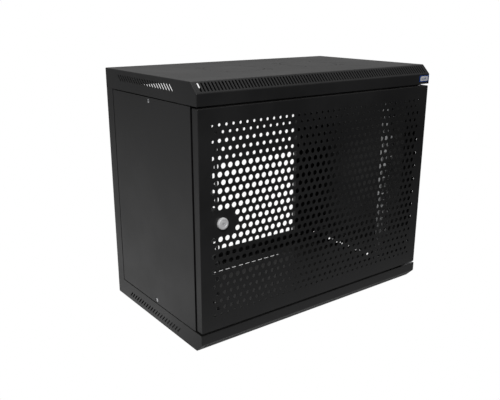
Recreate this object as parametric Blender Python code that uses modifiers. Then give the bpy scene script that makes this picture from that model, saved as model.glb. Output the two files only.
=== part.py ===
# Wall-mount 19 inch network cabinet, 9 rack units high: folded steel covers, four corner posts,
# a perforated front door on two hinge pins, a cam lock, removable side panels and sliding rack rails.
# The origin is the middle of the base plate's underside. +X is right, +Y is back, +Z is up.
import math

import bmesh
import bpy
from mathutils import Matrix, Vector

MM = 0.001
GAP = 0.3 * MM                      # clearance between pieces that touch

# Driving dimensions
WIDTH = 600 * MM
DEPTH = 350 * MM
HEIGHT = 501 * MM
BASE_SKIRT = 38 * MM                # height of the base's folded skirts
ROOF_SKIRT = 40 * MM
COVER_CHAMFER = 18.8 * MM           # slanted strip along the covers' front edge
COVER_SHEET = 1.2 * MM
POST_SHEET = 1.5 * MM
REAR_LEG = 84 * MM                  # width of the rear posts' wall-side legs
REAR_STRIP = 28.8 * MM              # width of the rear posts' side legs
POST_LIP = 12 * MM                  # stiffening lip along the rear posts' inner edge
JOGGLE = 1.6 * MM                   # step that lets a side panel lie over a rear post
JOGGLE_REACH = 10 * MM              # how far the post runs on behind the panel
POST_TAB = (14 * MM, 60 * MM)       # the posts' end tabs, from the cabinet's underside or top
TAB_BACK = 1.4 * MM                 # the tabs' rear face, in front of the cabinet's back
TAB_FRONT = 3.1 * MM
KEYHOLE_INSET = 42 * MM
KEYHOLE_LEVEL = 376 * MM
WALL_HOLE_INSET = 35.5 * MM         # plain wall screw hole near the posts' lower ends
WALL_HOLE_LEVEL = 96.4 * MM
WALL_HOLE_RADIUS = 3.5 * MM
KEYHOLE_ENTRY_RADIUS = 7 * MM
KEYHOLE_SLOT = 7 * MM               # width of the narrow part
KEYHOLE_RISE = 16 * MM
FRONT_POST_FLANGE = 25.3 * MM
FRONT_POST_LEG = 35 * MM
DOOR_WIDTH = 597 * MM
DOOR_RETURN = 17 * MM               # depth of the door's folded edges
DOOR_GAP = 4 * MM                   # door to the covers, above and below
HINGE_INSET = 20 * MM               # hinge axis from the cabinet's right side
HINGE_DEPTH = 9 * MM                # hinge axis from the door's front
PIN_RADIUS = 3.0 * MM
PIN_HOLE_RADIUS = 3.1 * MM
LOCK_X = -252 * MM
LOCK_Z = 249.5 * MM
LOCK_HEAD_RADIUS = 11 * MM
LOCK_HEAD_HEIGHT = 6 * MM
LOCK_BODY_LENGTH = 16 * MM
LOCK_BODY_RADIUS = 9.4 * MM
PLUG_RADIUS = 6.3 * MM
PLUG_LENGTH = 18 * MM
TANG_RADIUS = 4.2 * MM
KEY_SLOT = (6.6 * MM, 1.8 * MM)     # width and height
NUT_RADIUS = 13.5 * MM              # across corners
CAM_HALF_WIDTH = 6 * MM
CAM_SHEET = 2 * MM
CAM_SETBACK = 34.3 * MM             # cam's front face behind the door's front
CAM_LENGTH = 36 * MM
RACK_OPENING = 450 * MM             # clear width between the rack rails
RACK_HOLE_SPACING = 465.1 * MM      # between the two columns of rail holes
RACK_UNIT = 44.45 * MM
RACK_UNITS = 9
RACK_HOLE = 9.5 * MM                # square hole for a cage nut
RACK_HOLE_OFFSETS = (6.35 * MM, 22.225 * MM, 38.1 * MM)
RAIL_SHEET = 2 * MM
RAIL_SETBACK = 51 * MM              # rail face behind the cabinet's front
RAIL_FLANGE = 36 * MM
RAIL_RETURN = 9 * MM                # depth of the fold along the rail's inner edge
RAIL_MARK_X = 250 * MM              # second, sparser column of square holes
RAIL_MARK = 6 * MM
RAIL_WEB = 31 * MM
RAIL_LENGTH = 412 * MM
RAIL_TRAVEL = 120 * MM
FAN_OPENING_RADIUS = 62.5 * MM
FAN_SPACING = 200 * MM
SCORE = 1.2 * MM                    # width of the knock-outs' scored outlines
FAN_TAB_ANGLE = math.radians(7)     # bridge left between two scored arcs
CABLE_HALF_LENGTH = 137 * MM        # cable knock-out in the base and the roof
CABLE_FRONT = 127 * MM
CABLE_BACK = 155 * MM
CABLE_TAB = 4 * MM
BASE_CABLE_FRONT = 128.6 * MM
BASE_CABLE_SLIT = 4 * MM            # open slit along the base knock-out's front edge
BEAM_SHEET = 1.5 * MM
BEAM_FLANGE = 18 * MM
BEAM_LOW = (3 * MM, 51.3 * MM)      # heights of the lower beam's flange and of its plain edge
BEAM_HIGH = (498.5 * MM, 449.7 * MM)
PANEL_SHEET = 1.2 * MM
PANEL_MARGIN = 2 * MM               # side panel to the covers
PANEL_FRONT_GAP = 4 * MM            # side panel to the door's edge
PANEL_BACK_GAP = 2.4 * MM           # side panel to the rear post's strip
PANEL_RETURN = 8 * MM               # depth of the folds along the side panel's top and bottom
PANEL_RETURN_INSET = 2 * MM         # those folds stay this clear of the posts
FASTENER_EDGE = 6.5 * MM            # side panel fastener from the panel's end
FASTENER_Y = -5 * MM
CUP_RADIUS = 5.6 * MM
RECESS_RADIUS = 4.9 * MM
FASTENER_RADIUS = 4.4 * MM
RAIL_BOLT_SETBACK = 16 * MM         # rail screw behind the rail's face
RAIL_BOLT_EDGE = 52 * MM            # rail screw from the cabinet's underside or top
M6_RADIUS = 3.0 * MM
M6_HOLE_RADIUS = 3.4 * MM
PIN_BRACKET_SHEET = 1.5 * MM

FRONT = -DEPTH / 2
BACK = DEPTH / 2
SIDE = WIDTH / 2
COVER_TOP = HEIGHT - ROOF_SKIRT
MIDDLE_HEIGHT = HEIGHT / 2
POST_LOW = BASE_SKIRT + GAP
POST_HIGH = COVER_TOP - GAP
DOOR_LOW = BASE_SKIRT + DOOR_GAP
DOOR_HIGH = COVER_TOP - DOOR_GAP
DOOR_BACK = FRONT + DOOR_RETURN
HINGE_X = SIDE - HINGE_INSET
HINGE_Y = FRONT + HINGE_DEPTH
FRONT_POST_Y = FRONT + 32 * MM      # front face of the posts that the door closes against
RAIL_Y = FRONT + RAIL_SETBACK
RAIL_OUTER = RACK_OPENING / 2 + RAIL_FLANGE
BRACKET_WEB = RAIL_OUTER + GAP
BRACKET_OUTER = SIDE - 4.6 * MM
BRACKET_HEIGHT = 24 * MM
BRACKET_LEVELS = {"lower": 47 * MM, "upper": HEIGHT - 47 * MM}
PANEL_LOW = BASE_SKIRT + PANEL_MARGIN
PANEL_HIGH = COVER_TOP - PANEL_MARGIN
PANEL_FRONT = DOOR_BACK + PANEL_FRONT_GAP
PANEL_BACK = BACK - REAR_STRIP - PANEL_BACK_GAP
LEG_X = SIDE - 2.7 * MM             # outer face of the front posts' side legs
BRACKET_BACK = BACK - 28.8 * MM
SIDES = {"left": -1, "right": 1}


def clear_scene():
    for old in list(bpy.data.objects):
        bpy.data.objects.remove(old, do_unlink=True)


def make_collection(name):
    collection = bpy.data.collections.new(name)
    bpy.context.scene.collection.children.link(collection)
    return collection


def make_material(name, colour, roughness, metallic):
    material = bpy.data.materials.new(name)
    material.use_nodes = True
    shader = material.node_tree.nodes["Principled BSDF"]
    shader.inputs["Base Color"].default_value = (*colour, 1.0)
    shader.inputs["Roughness"].default_value = roughness
    shader.inputs["Metallic"].default_value = metallic
    material.diffuse_color = (*colour, 1.0)
    return material


clear_scene()
parts = make_collection("rack_cabinet")
cutters = make_collection("rack_cabinet_cutters")

black_coat = make_material("black_powder_coat", (0.014, 0.014, 0.015), 0.5, 0.0)
zinc = make_material("zinc_plate", (0.55, 0.56, 0.57), 0.35, 0.9)
chrome = make_material("chrome_plate", (0.72, 0.73, 0.74), 0.18, 1.0)
spring_steel = make_material("spring_steel", (0.42, 0.42, 0.44), 0.3, 1.0)
badge_blue = make_material("badge_blue", (0.02, 0.09, 0.35), 0.4, 0.0)


# ---- building blocks ----

def finish_piece(name, bm, centre, material):
    """Turn a bmesh made around its own origin into a named part placed at centre."""
    bmesh.ops.recalc_face_normals(bm, faces=bm.faces)
    mesh = bpy.data.meshes.new(name)
    bm.to_mesh(mesh)
    bm.free()
    piece = bpy.data.objects.new(name, mesh)
    piece.location = centre
    if material is None:
        cutters.objects.link(piece)
        piece.hide_render = True
        piece.display_type = "WIRE"
    else:
        parts.objects.link(piece)
        mesh.materials.append(material)
    return piece


def middle(low, high):
    return (Vector(low) + Vector(high)) / 2


def span(a, b):
    return min(a, b), max(a, b)


def box_mesh(low, high):
    size = Vector(high) - Vector(low)
    bm = bmesh.new()
    bmesh.ops.create_cube(bm, size=1.0, matrix=Matrix.Diagonal((*size, 1.0)))
    return bm


def box(name, x, y, z, material=None):
    """A block between two values on each axis, given in either order."""
    corners = [span(*x), span(*y), span(*z)]
    low = [pair[0] for pair in corners]
    high = [pair[1] for pair in corners]
    return finish_piece(name, box_mesh(low, high), middle(low, high), material)


def rod(name, radius, start, end, material=None, sides=24):
    """A cylinder from start to end, along whichever axis they differ on."""
    start, end = Vector(start), Vector(end)
    turn = (end - start).to_track_quat("Z", "Y").to_matrix().to_4x4()
    bm = bmesh.new()
    bmesh.ops.create_cone(bm, cap_ends=True, segments=sides, radius1=radius, radius2=radius,
                          depth=(end - start).length, matrix=turn)
    piece = finish_piece(name, bm, middle(start, end), material)
    for face in piece.data.polygons:
        face.use_smooth = len(face.vertices) == 4
    piece.data.set_sharp_from_angle(angle=math.radians(40))
    return piece


def combine(piece, operation, tools):
    """Cut, join or intersect a part with helper objects, which stay in the cutters' collection."""
    for tool in tools:
        step = piece.modifiers.new(operation.lower() + "_" + tool.name, "BOOLEAN")
        step.operation = operation
        step.solver = "EXACT"
        step.object = tool
    return piece


def cut(piece, *tools):
    return combine(piece, "DIFFERENCE", tools)


def join(piece, *tools):
    return combine(piece, "UNION", tools)


def give_thickness(piece, thickness):
    sheet = piece.modifiers.new("sheet", "SOLIDIFY")
    sheet.thickness = thickness
    sheet.offset = -1.0
    sheet.use_even_offset = True
    sheet.use_quality_normals = True
    return piece


def tray(name, x, y, z, open_side, thickness, material, chamfer=0.0, chamfer_test=None):
    """A folded sheet box with one open side and, if asked, one slanted edge."""
    low = Vector((x[0], y[0], z[0]))
    high = Vector((x[1], y[1], z[1]))
    bm = box_mesh(low, high)
    open_side = Vector(open_side)
    lid = [face for face in bm.faces if face.normal.dot(open_side) > 0.9]
    bmesh.ops.delete(bm, geom=lid, context="FACES")
    if chamfer_test:
        edges = [edge for edge in bm.edges if all(chamfer_test(vert.co) for vert in edge.verts)]
        bmesh.ops.bevel(bm, geom=edges, offset=chamfer, segments=1, affect="EDGES")
    piece = finish_piece(name, bm, middle(low, high), material)
    outward_check = [face for face in piece.data.polygons if face.normal.dot(-open_side) > 0.9]
    if outward_check[0].center.dot(-open_side) < 0:
        piece.data.flip_normals()
    return give_thickness(piece, thickness)


def upright(x, y, level):
    return x, y, level


def front_to_back(x, z, level):
    return x, level, z


def left_to_right(y, z, level):
    return level, y, z


def folded_strip(name, profile, ends, thickness, material, layout=upright):
    """A strip of sheet folded to a flat outline and run between two places along the third axis."""
    bm = bmesh.new()
    rows = []
    for level in ends:
        rows.append([bm.verts.new(layout(a, b, level)) for a, b in profile])
    for index in range(len(profile) - 1):
        bm.faces.new((rows[0][index], rows[0][index + 1], rows[1][index + 1], rows[1][index]))
    mesh = bpy.data.meshes.new(name)
    bm.to_mesh(mesh)
    bm.free()
    mesh.materials.append(material)
    piece = bpy.data.objects.new(name, mesh)
    parts.objects.link(piece)
    return give_thickness(piece, thickness)


def arc_cutter(name, centre, radius, width, start, sweep, z):
    """A thin curved blade, one part of a knock-out's scored ring."""
    bm = bmesh.new()
    corners = [(radius - width / 2, z[0]), (radius + width / 2, z[0]),
               (radius + width / 2, z[1]), (radius - width / 2, z[1])]
    turned = Matrix.Rotation(start, 4, "Z")
    face = bm.faces.new([bm.verts.new(turned @ Vector((r, 0, height))) for r, height in corners])
    bmesh.ops.spin(bm, geom=[face] + list(face.edges) + list(face.verts), cent=(0, 0, 0),
                   axis=(0, 0, 1), angle=sweep, steps=14, use_duplicate=False)
    return finish_piece(name, bm, (centre[0], centre[1], 0), None)


def axis_empty(name, location):
    empty = bpy.data.objects.new(name, None)
    empty.location = location
    empty.empty_display_size = 20 * MM
    parts.objects.link(empty)
    return empty


def hang_on(empty, *pieces):
    """Parent pieces to a joint's empty and keep them where they are."""
    for piece in pieces:
        piece.parent = empty
        piece.location = Vector(piece.location) - Vector(empty.location)


# ---- covers ----

def fan_cutters(name, plate_z):
    """The scored outlines of the roof's two fan knock-outs."""
    z = (plate_z[0] - 2 * MM, plate_z[1] + 2 * MM)
    blades = []
    for fan in (-1, 1):
        for quarter in range(4):
            start = quarter * math.pi / 2 + FAN_TAB_ANGLE / 2
            centre = (fan * FAN_SPACING / 2, 0)
            blades.append(arc_cutter(f"{name}_fan_{fan}_{quarter}", centre, FAN_OPENING_RADIUS,
                                     SCORE, start, math.pi / 2 - FAN_TAB_ANGLE, z))
    return blades


def cable_cutters(name, plate_z, front, front_width):
    """The outline of the cable knock-out near a cover's rear edge."""
    z = (plate_z[0] - 2 * MM, plate_z[1] + 2 * MM)
    blades = []
    for sign in (-1, 1):
        long_x = (sign * CABLE_TAB, sign * (CABLE_HALF_LENGTH - CABLE_TAB))
        end_x = (sign * CABLE_HALF_LENGTH, sign * (CABLE_HALF_LENGTH - SCORE))
        end_y = (front + front_width + CABLE_TAB, CABLE_BACK - CABLE_TAB)
        blades.append(box(f"{name}_slit_front_{sign}", long_x, (front, front + front_width), z))
        blades.append(box(f"{name}_slit_back_{sign}", long_x, (CABLE_BACK, CABLE_BACK + SCORE), z))
        blades.append(box(f"{name}_slit_end_{sign}", end_x, end_y, z))
    return blades


def make_cover(name, up):
    """The base (up = 1) or the roof (up = -1): one sheet folded into a shallow tray."""
    z = (0.0, BASE_SKIRT) if up > 0 else (COVER_TOP, HEIGHT)
    plate_z = (0.0, COVER_SHEET) if up > 0 else (HEIGHT - COVER_SHEET, HEIGHT)
    half_height = (z[1] - z[0]) / 2

    def on_front_edge(point):
        return point.y < FRONT + 1 * MM and abs(point.z + up * half_height) < 1 * MM

    cover = tray(name, (-SIDE, SIDE), (FRONT, BACK), z, (0, 0, up), COVER_SHEET, black_coat,
                 COVER_CHAMFER, on_front_edge)
    if up > 0:
        return cut(cover, *cable_cutters(name, plate_z, BASE_CABLE_FRONT, BASE_CABLE_SLIT))
    return cut(cover, *fan_cutters(name, plate_z), *cable_cutters(name, plate_z, CABLE_FRONT, SCORE))


# ---- frame ----

def keyhole_cutter(name, x, z):
    """A wall-hanging keyhole: a round entry below a narrow slot."""
    y = (BACK - 4 * MM, BACK + 2 * MM)
    entry = rod(name + "_entry", KEYHOLE_ENTRY_RADIUS, (x, y[0], z), (x, y[1], z), sides=16)
    slot = box(name + "_slot", (x - KEYHOLE_SLOT / 2, x + KEYHOLE_SLOT / 2), y, (z, z + KEYHOLE_RISE))
    return [entry, slot]


def make_rear_post(side_name, side):
    """A rear corner: side strip stepped in behind the panel, wall-side leg with keyholes, and a lip."""
    name = f"post_rear_{side_name}"
    strip_front = BACK - REAR_STRIP
    leg_edge = SIDE - REAR_LEG
    behind_panel = side * (SIDE - JOGGLE)
    profile = [(behind_panel, strip_front - JOGGLE_REACH), (behind_panel, strip_front),
               (side * SIDE, strip_front), (side * SIDE, BACK), (side * leg_edge, BACK),
               (side * leg_edge, BACK - POST_LIP)]
    if side < 0:
        profile.reverse()
    post = folded_strip(name, profile, (POST_LOW, POST_HIGH), POST_SHEET, black_coat)
    tab_y = (BACK - TAB_FRONT, BACK - TAB_BACK)
    tab_x = (side * (SIDE - 10 * MM), side * (leg_edge + 8 * MM))
    foot = box(name + "_foot", tab_x, tab_y, POST_TAB)
    head = box(name + "_head", tab_x, tab_y, (HEIGHT - POST_TAB[1], HEIGHT - POST_TAB[0]))
    join(post, foot, head)
    wall_x = side * (SIDE - WALL_HOLE_INSET)
    wall_hole = rod(name + "_wall_hole", WALL_HOLE_RADIUS, (wall_x, BACK - 4 * MM, WALL_HOLE_LEVEL),
                    (wall_x, BACK + 2 * MM, WALL_HOLE_LEVEL), sides=16)
    keyhole = keyhole_cutter(name + "_keyhole", side * (SIDE - KEYHOLE_INSET), KEYHOLE_LEVEL)
    return cut(post, *keyhole, wall_hole)


def make_front_post(side_name, side):
    """A front corner behind the door: a flange that the lock's cam closes on, and a side leg."""
    name = f"post_front_{side_name}"
    profile = [(side * (LEG_X - FRONT_POST_FLANGE), FRONT_POST_Y), (side * LEG_X, FRONT_POST_Y),
               (side * LEG_X, FRONT_POST_Y + FRONT_POST_LEG)]
    if side < 0:
        profile.reverse()
    return folded_strip(name, profile, (POST_TAB[0], HEIGHT - POST_TAB[0]), POST_SHEET, black_coat)


def make_front_beam(name, flange_z, edge_z):
    """A cross-beam between the front posts: an upright web and a flange pointing back beside the cover."""
    half = LEG_X - FRONT_POST_FLANGE - GAP
    profile = [(FRONT_POST_Y, edge_z), (FRONT_POST_Y, flange_z), (FRONT_POST_Y + BEAM_FLANGE, flange_z)]
    if flange_z > edge_z:
        profile.reverse()
    return folded_strip(name, profile, (-half, half), BEAM_SHEET, black_coat, left_to_right)


def rail_bolt_height(level_name):
    return RAIL_BOLT_EDGE if level_name == "lower" else HEIGHT - RAIL_BOLT_EDGE


def make_side_bracket(level_name, side_name, side):
    """A channel from front post to rear post; the rack rail is screwed to its slotted web."""
    name = f"side_bracket_{level_name}_{side_name}"
    centre_z = BRACKET_LEVELS[level_name]
    low, high = centre_z - BRACKET_HEIGHT / 2, centre_z + BRACKET_HEIGHT / 2
    web, outer = side * BRACKET_WEB, side * BRACKET_OUTER
    profile = [(outer, low), (web, low), (web, high), (outer, high)]
    if side < 0:
        profile.reverse()
    bracket = folded_strip(name, profile, (FRONT_POST_Y + POST_SHEET + 0.5 * MM, BRACKET_BACK), POST_SHEET,
                           black_coat, front_to_back)
    bolt_y = RAIL_Y + RAIL_BOLT_SETBACK
    bolt_z = rail_bolt_height(level_name)
    slot_x = (side * (BRACKET_WEB - 2 * MM), side * (BRACKET_WEB + 4 * MM))
    slot_y = (bolt_y - 2 * M6_RADIUS, bolt_y + 2 * M6_RADIUS + RAIL_TRAVEL)
    slot_z = (bolt_z - M6_HOLE_RADIUS, bolt_z + M6_HOLE_RADIUS)
    return cut(bracket, box(name + "_slot", slot_x, slot_y, slot_z))


def make_hinge_plate(name, z):
    """A steel plate inside a cover's front skirt, with the hole that a hinge pin turns in."""
    plate = box(name, (SIDE - 38 * MM, SIDE - 2 * MM), (FRONT + 1.6 * MM, FRONT + 26 * MM), z, zinc)
    hole = rod(name + "_hole", PIN_HOLE_RADIUS, (HINGE_X, HINGE_Y, z[0] - 2 * MM),
               (HINGE_X, HINGE_Y, z[1] + 2 * MM))
    return cut(plate, hole)


def make_frame_screw(level_name, side_name, side):
    """A pan-head screw through a rear post's end tab into the cover's skirt."""
    name = f"frame_screw_{level_name}_{side_name}"
    height = 24 * MM if level_name == "base" else HEIGHT - 24 * MM
    x = side * (SIDE - 60 * MM)
    foot_y = BACK - TAB_FRONT - GAP
    return rod(name, 4.2 * MM, (x, foot_y - 2.6 * MM, height), (x, foot_y, height), zinc, 16)


def make_stud(name, start, end):
    """An earthing stud with its hexagonal nut, joined to one piece."""
    start, end = Vector(start), Vector(end)
    way = (end - start).normalized()
    stud = rod(name, M6_RADIUS, start, end, zinc, 12)
    nut = rod(name + "_nut", 5.8 * MM, start + way * 3 * MM, start + way * 8 * MM, sides=6)
    return join(stud, nut)


# ---- rack rails ----

def make_rail(side_name, side):
    """A rack rail: flange with three cage nut holes to each unit, a return and a web along the bracket."""
    name = f"rail_{side_name}"
    low = MIDDLE_HEIGHT - RAIL_LENGTH / 2
    inner = side * RACK_OPENING / 2
    profile = [(inner, RAIL_Y + RAIL_RETURN), (inner, RAIL_Y), (side * RAIL_OUTER, RAIL_Y),
               (side * RAIL_OUTER, RAIL_Y + RAIL_WEB)]
    if side < 0:
        profile.reverse()
    rail = folded_strip(name, profile, (low, low + RAIL_LENGTH), RAIL_SHEET, zinc)
    bm = bmesh.new()
    first_unit = MIDDLE_HEIGHT - RACK_UNITS * RACK_UNIT / 2
    squares = [(RACK_HOLE_SPACING / 2, offset, RACK_HOLE) for offset in RACK_HOLE_OFFSETS]
    squares.append((RAIL_MARK_X, RACK_UNIT / 2, RAIL_MARK))
    for unit in range(RACK_UNITS):
        for x, offset, width in squares:
            height = first_unit + unit * RACK_UNIT + offset
            place = Matrix.Translation((side * x, RAIL_Y + RAIL_SHEET / 2, height))
            size = Matrix.Diagonal((width, 6 * MM, width, 1.0))
            bmesh.ops.create_cube(bm, size=1.0, matrix=place @ size)
    cut(rail, finish_piece(name + "_holes", bm, (0, 0, 0), None))
    for level_name in BRACKET_LEVELS:
        bolt_y = RAIL_Y + RAIL_BOLT_SETBACK
        bolt_z = rail_bolt_height(level_name)
        inner_end = (side * (RAIL_OUTER - 6 * MM), bolt_y, bolt_z)
        outer_end = (side * (RAIL_OUTER + 2 * MM), bolt_y, bolt_z)
        cut(rail, rod(f"{name}_{level_name}_hole", M6_HOLE_RADIUS, inner_end, outer_end, sides=16))
    return rail


def make_rail_screw(level_name, side_name, side):
    """An M6 screw from inside the rack through the rail's web and the bracket's slot."""
    name = f"rail_screw_{level_name}_{side_name}"
    y = RAIL_Y + RAIL_BOLT_SETBACK
    z = rail_bolt_height(level_name)
    head_x = RAIL_OUTER - RAIL_SHEET - GAP
    screw = rod(name, M6_RADIUS, (side * (RAIL_OUTER + 9 * MM), y, z),
                (side * (head_x - 1 * MM), y, z), zinc, 16)
    head = rod(name + "_head", 5.2 * MM, (side * head_x, y, z), (side * (head_x - 4 * MM), y, z), sides=16)
    return join(screw, head)


# ---- door ----

def make_door():
    """The door: one sheet with four folded returns, a lock hole and a hole for each hinge pin."""
    half = DOOR_WIDTH / 2
    door = tray("door_panel", (-half, half), (FRONT, DOOR_BACK), (DOOR_LOW, DOOR_HIGH), (0, 1, 0),
                COVER_SHEET, black_coat)
    lock_hole = rod("door_lock_hole", LOCK_BODY_RADIUS + GAP, (LOCK_X, FRONT - 2 * MM, LOCK_Z),
                    (LOCK_X, FRONT + 4 * MM, LOCK_Z))
    pin_hole = rod("door_pin_holes", PIN_RADIUS + GAP, (HINGE_X, HINGE_Y, DOOR_LOW - 2 * MM),
                   (HINGE_X, HINGE_Y, DOOR_HIGH + 2 * MM))
    return cut(door, lock_hole, pin_hole)


def make_pin_bracket(name, legs):
    """A folded bracket in the door's hinge corner that guides a pin through one or two legs."""
    sheet = PIN_BRACKET_SHEET
    low = min(legs)
    high = max(legs) + sheet
    x = (HINGE_X - 12 * MM, SIDE - 3.1 * MM)
    back_x = (SIDE - 4.6 * MM, SIDE - 3.1 * MM)
    y = (FRONT + 1.6 * MM, DOOR_BACK - 1 * MM)
    back = box(name, back_x, y, (low, high) if len(legs) > 1 else (low, low + 16 * MM), black_coat)
    for index, leg in enumerate(legs):
        join(back, box(f"{name}_leg_{index}", x, y, (leg, leg + sheet)))
    hole = rod(name + "_hole", PIN_RADIUS + GAP, (HINGE_X, HINGE_Y, low - 2 * MM),
               (HINGE_X, HINGE_Y, high + 2 * MM))
    return cut(back, hole)


def make_top_pin():
    """The sprung upper hinge pin, with a collar for its spring and a knob to pull it down by."""
    pin = rod("hinge_pin_top", PIN_RADIUS, (HINGE_X, HINGE_Y, 414 * MM), (HINGE_X, HINGE_Y, 470 * MM), chrome)
    collar = rod("pin_collar", 4.8 * MM, (HINGE_X, HINGE_Y, 446 * MM), (HINGE_X, HINGE_Y, 448 * MM))
    knob = rod("pin_knob", 5.5 * MM, (HINGE_X, HINGE_Y, 408 * MM), (HINGE_X, HINGE_Y, 418 * MM))
    return join(pin, collar, knob)


def make_spring():
    """The coil between the bracket's lower leg and the pin's collar."""
    turns = 6
    steps = 10
    wire = 0.5 * MM
    radius = PIN_RADIUS + wire + 0.5 * MM
    low = 427.5 * MM
    rise = 17.0 * MM
    curve = bpy.data.curves.new("spring_path", "CURVE")
    curve.dimensions = "3D"
    curve.bevel_depth = wire
    curve.bevel_resolution = 1
    curve.use_fill_caps = True
    spline = curve.splines.new("POLY")
    count = turns * steps + 1
    spline.points.add(count - 1)
    for index in range(count):
        angle = 2 * math.pi * index / steps
        height = low + rise * index / (count - 1)
        spline.points[index].co = (radius * math.cos(angle), radius * math.sin(angle), height, 1.0)
    spring = bpy.data.objects.new("hinge_spring", curve)
    spring.location = (HINGE_X, HINGE_Y, 0)
    curve.materials.append(spring_steel)
    parts.objects.link(spring)
    return spring


def make_bottom_pin():
    """The fixed lower hinge pin, with a flange that rests on its bracket."""
    pin = rod("hinge_pin_bottom", PIN_RADIUS, (HINGE_X, HINGE_Y, 31 * MM), (HINGE_X, HINGE_Y, 50 * MM),
              chrome)
    flange = rod("bottom_pin_flange", 5 * MM, (HINGE_X, HINGE_Y, 45.4 * MM), (HINGE_X, HINGE_Y, 47.4 * MM))
    return join(pin, flange)


# ---- lock ----

def lock_point(y):
    return (LOCK_X, y, LOCK_Z)


def make_lock_barrel():
    """The lock's housing: a round head outside the door and a threaded body through it."""
    head_back = FRONT - GAP
    barrel = rod("lock_barrel", LOCK_BODY_RADIUS, lock_point(FRONT - 3 * MM),
                 lock_point(FRONT + LOCK_BODY_LENGTH), chrome, 32)
    head = rod("lock_head", LOCK_HEAD_RADIUS, lock_point(FRONT - LOCK_HEAD_HEIGHT), lock_point(head_back),
               sides=32)
    bore = rod("lock_bore", PLUG_RADIUS + 0.1 * MM, lock_point(FRONT - 10 * MM), lock_point(FRONT + 20 * MM),
               sides=32)
    join(barrel, head)
    return cut(barrel, bore)


def make_lock_nut():
    """The hexagonal nut that clamps the lock from inside the door."""
    nut = rod("lock_nut", NUT_RADIUS, lock_point(FRONT + COVER_SHEET + GAP), lock_point(FRONT + 6.5 * MM),
              zinc, 6)
    hole = rod("lock_nut_hole", LOCK_BODY_RADIUS + GAP, lock_point(FRONT), lock_point(FRONT + 10 * MM),
               sides=32)
    return cut(nut, hole)


def make_lock_plug():
    """The core that the key turns, with a keyhole in front and a tang for the cam behind."""
    plug = rod("lock_plug", PLUG_RADIUS - 0.02 * MM, lock_point(FRONT - LOCK_HEAD_HEIGHT + GAP),
               lock_point(FRONT + PLUG_LENGTH), chrome, 32)
    tang = rod("lock_tang", TANG_RADIUS, lock_point(FRONT + PLUG_LENGTH - 1 * MM),
               lock_point(FRONT + CAM_SETBACK - GAP))
    key_width, key_height = KEY_SLOT
    keyhole = box("lock_keyhole", (LOCK_X - key_width / 2, LOCK_X + key_width / 2),
                  (FRONT - 8 * MM, FRONT + 4 * MM), (LOCK_Z - key_height / 2, LOCK_Z + key_height / 2))
    thread = rod("lock_thread", 2.2 * MM, lock_point(FRONT + 26 * MM), lock_point(FRONT + 36 * MM), sides=16)
    join(plug, tang)
    return cut(plug, keyhole, thread)


def make_lock_cam():
    """The flat cam, hanging straight down when the lock is open."""
    y = (FRONT + CAM_SETBACK, FRONT + CAM_SETBACK + CAM_SHEET)
    cam = box("lock_cam", (LOCK_X - CAM_HALF_WIDTH, LOCK_X + CAM_HALF_WIDTH), y,
              (LOCK_Z - CAM_LENGTH, LOCK_Z), zinc)
    round_end = rod("cam_end", CAM_HALF_WIDTH, lock_point(y[0]), lock_point(y[1]))
    hole = rod("cam_hole", 2.3 * MM, lock_point(y[0] - 1 * MM), lock_point(y[1] + 1 * MM), sides=16)
    join(cam, round_end)
    return cut(cam, hole)


def make_cam_screw():
    head_front = FRONT + CAM_SETBACK + CAM_SHEET + GAP
    screw = rod("cam_screw", 2.0 * MM, lock_point(FRONT + 28 * MM), lock_point(head_front + 1 * MM), zinc, 16)
    head = rod("cam_screw_head", 4.4 * MM, lock_point(head_front), lock_point(head_front + 2.4 * MM),
               sides=16)
    return join(screw, head)


# ---- side panels ----

def fastener_place(level_name):
    height = PANEL_LOW + FASTENER_EDGE if level_name == "lower" else PANEL_HIGH - FASTENER_EDGE
    return FASTENER_Y, height


def make_side_panel(side_name, side):
    """A removable side: sheet folded in along its top and bottom, with a sunk cup for each fastener."""
    name = f"side_panel_{side_name}"
    outer = side * SIDE
    inner = side * (SIDE - PANEL_SHEET)
    panel = box(name, (inner, outer), (PANEL_FRONT, PANEL_BACK), (PANEL_LOW, PANEL_HIGH), black_coat)
    return_x = (side * (SIDE - PANEL_SHEET - PANEL_RETURN), side * (SIDE - PANEL_SHEET / 2))
    return_y = (FRONT_POST_Y + FRONT_POST_LEG + PANEL_RETURN_INSET,
                BACK - REAR_STRIP - JOGGLE_REACH - PANEL_RETURN_INSET)
    join(panel, box(name + "_return_low", return_x, return_y, (PANEL_LOW, PANEL_LOW + PANEL_SHEET)),
         box(name + "_return_high", return_x, return_y, (PANEL_HIGH - PANEL_SHEET, PANEL_HIGH)))
    for level_name in BRACKET_LEVELS:
        y, z = fastener_place(level_name)
        tag = f"{name}_{level_name}"
        cup = rod(tag + "_cup", CUP_RADIUS, (side * (SIDE - 4.2 * MM), y, z),
                  (side * (SIDE - 0.6 * MM), y, z))
        recess = rod(tag + "_recess", RECESS_RADIUS, (side * (SIDE - 3.4 * MM), y, z),
                     (side * (SIDE + 2 * MM), y, z))
        hole = rod(tag + "_hole", 2.9 * MM, (side * (SIDE - 6 * MM), y, z), (side * (SIDE - 2 * MM), y, z))
        join(panel, cup)
        cut(panel, recess, hole)
    return panel


def make_panel_fastener(level_name, side_name, side):
    """A quarter-turn fastener: slotted head in the panel's cup and a shank behind."""
    name = f"panel_fastener_{level_name}_{side_name}"
    y, z = fastener_place(level_name)
    shank = rod(name, 2.5 * MM, (side * (SIDE - 9 * MM), y, z), (side * (SIDE - 1.5 * MM), y, z), chrome, 16)
    head = rod(name + "_head", FASTENER_RADIUS, (side * (SIDE - 3.1 * MM), y, z),
               (side * (SIDE - 0.5 * MM), y, z))
    slot = box(name + "_slot", (side * (SIDE - 1.4 * MM), side * (SIDE + 1 * MM)),
               (y - 6 * MM, y + 6 * MM), (z - 0.6 * MM, z + 0.6 * MM))
    join(shank, head)
    return cut(shank, slot)


# ---- assembly ----

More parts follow.
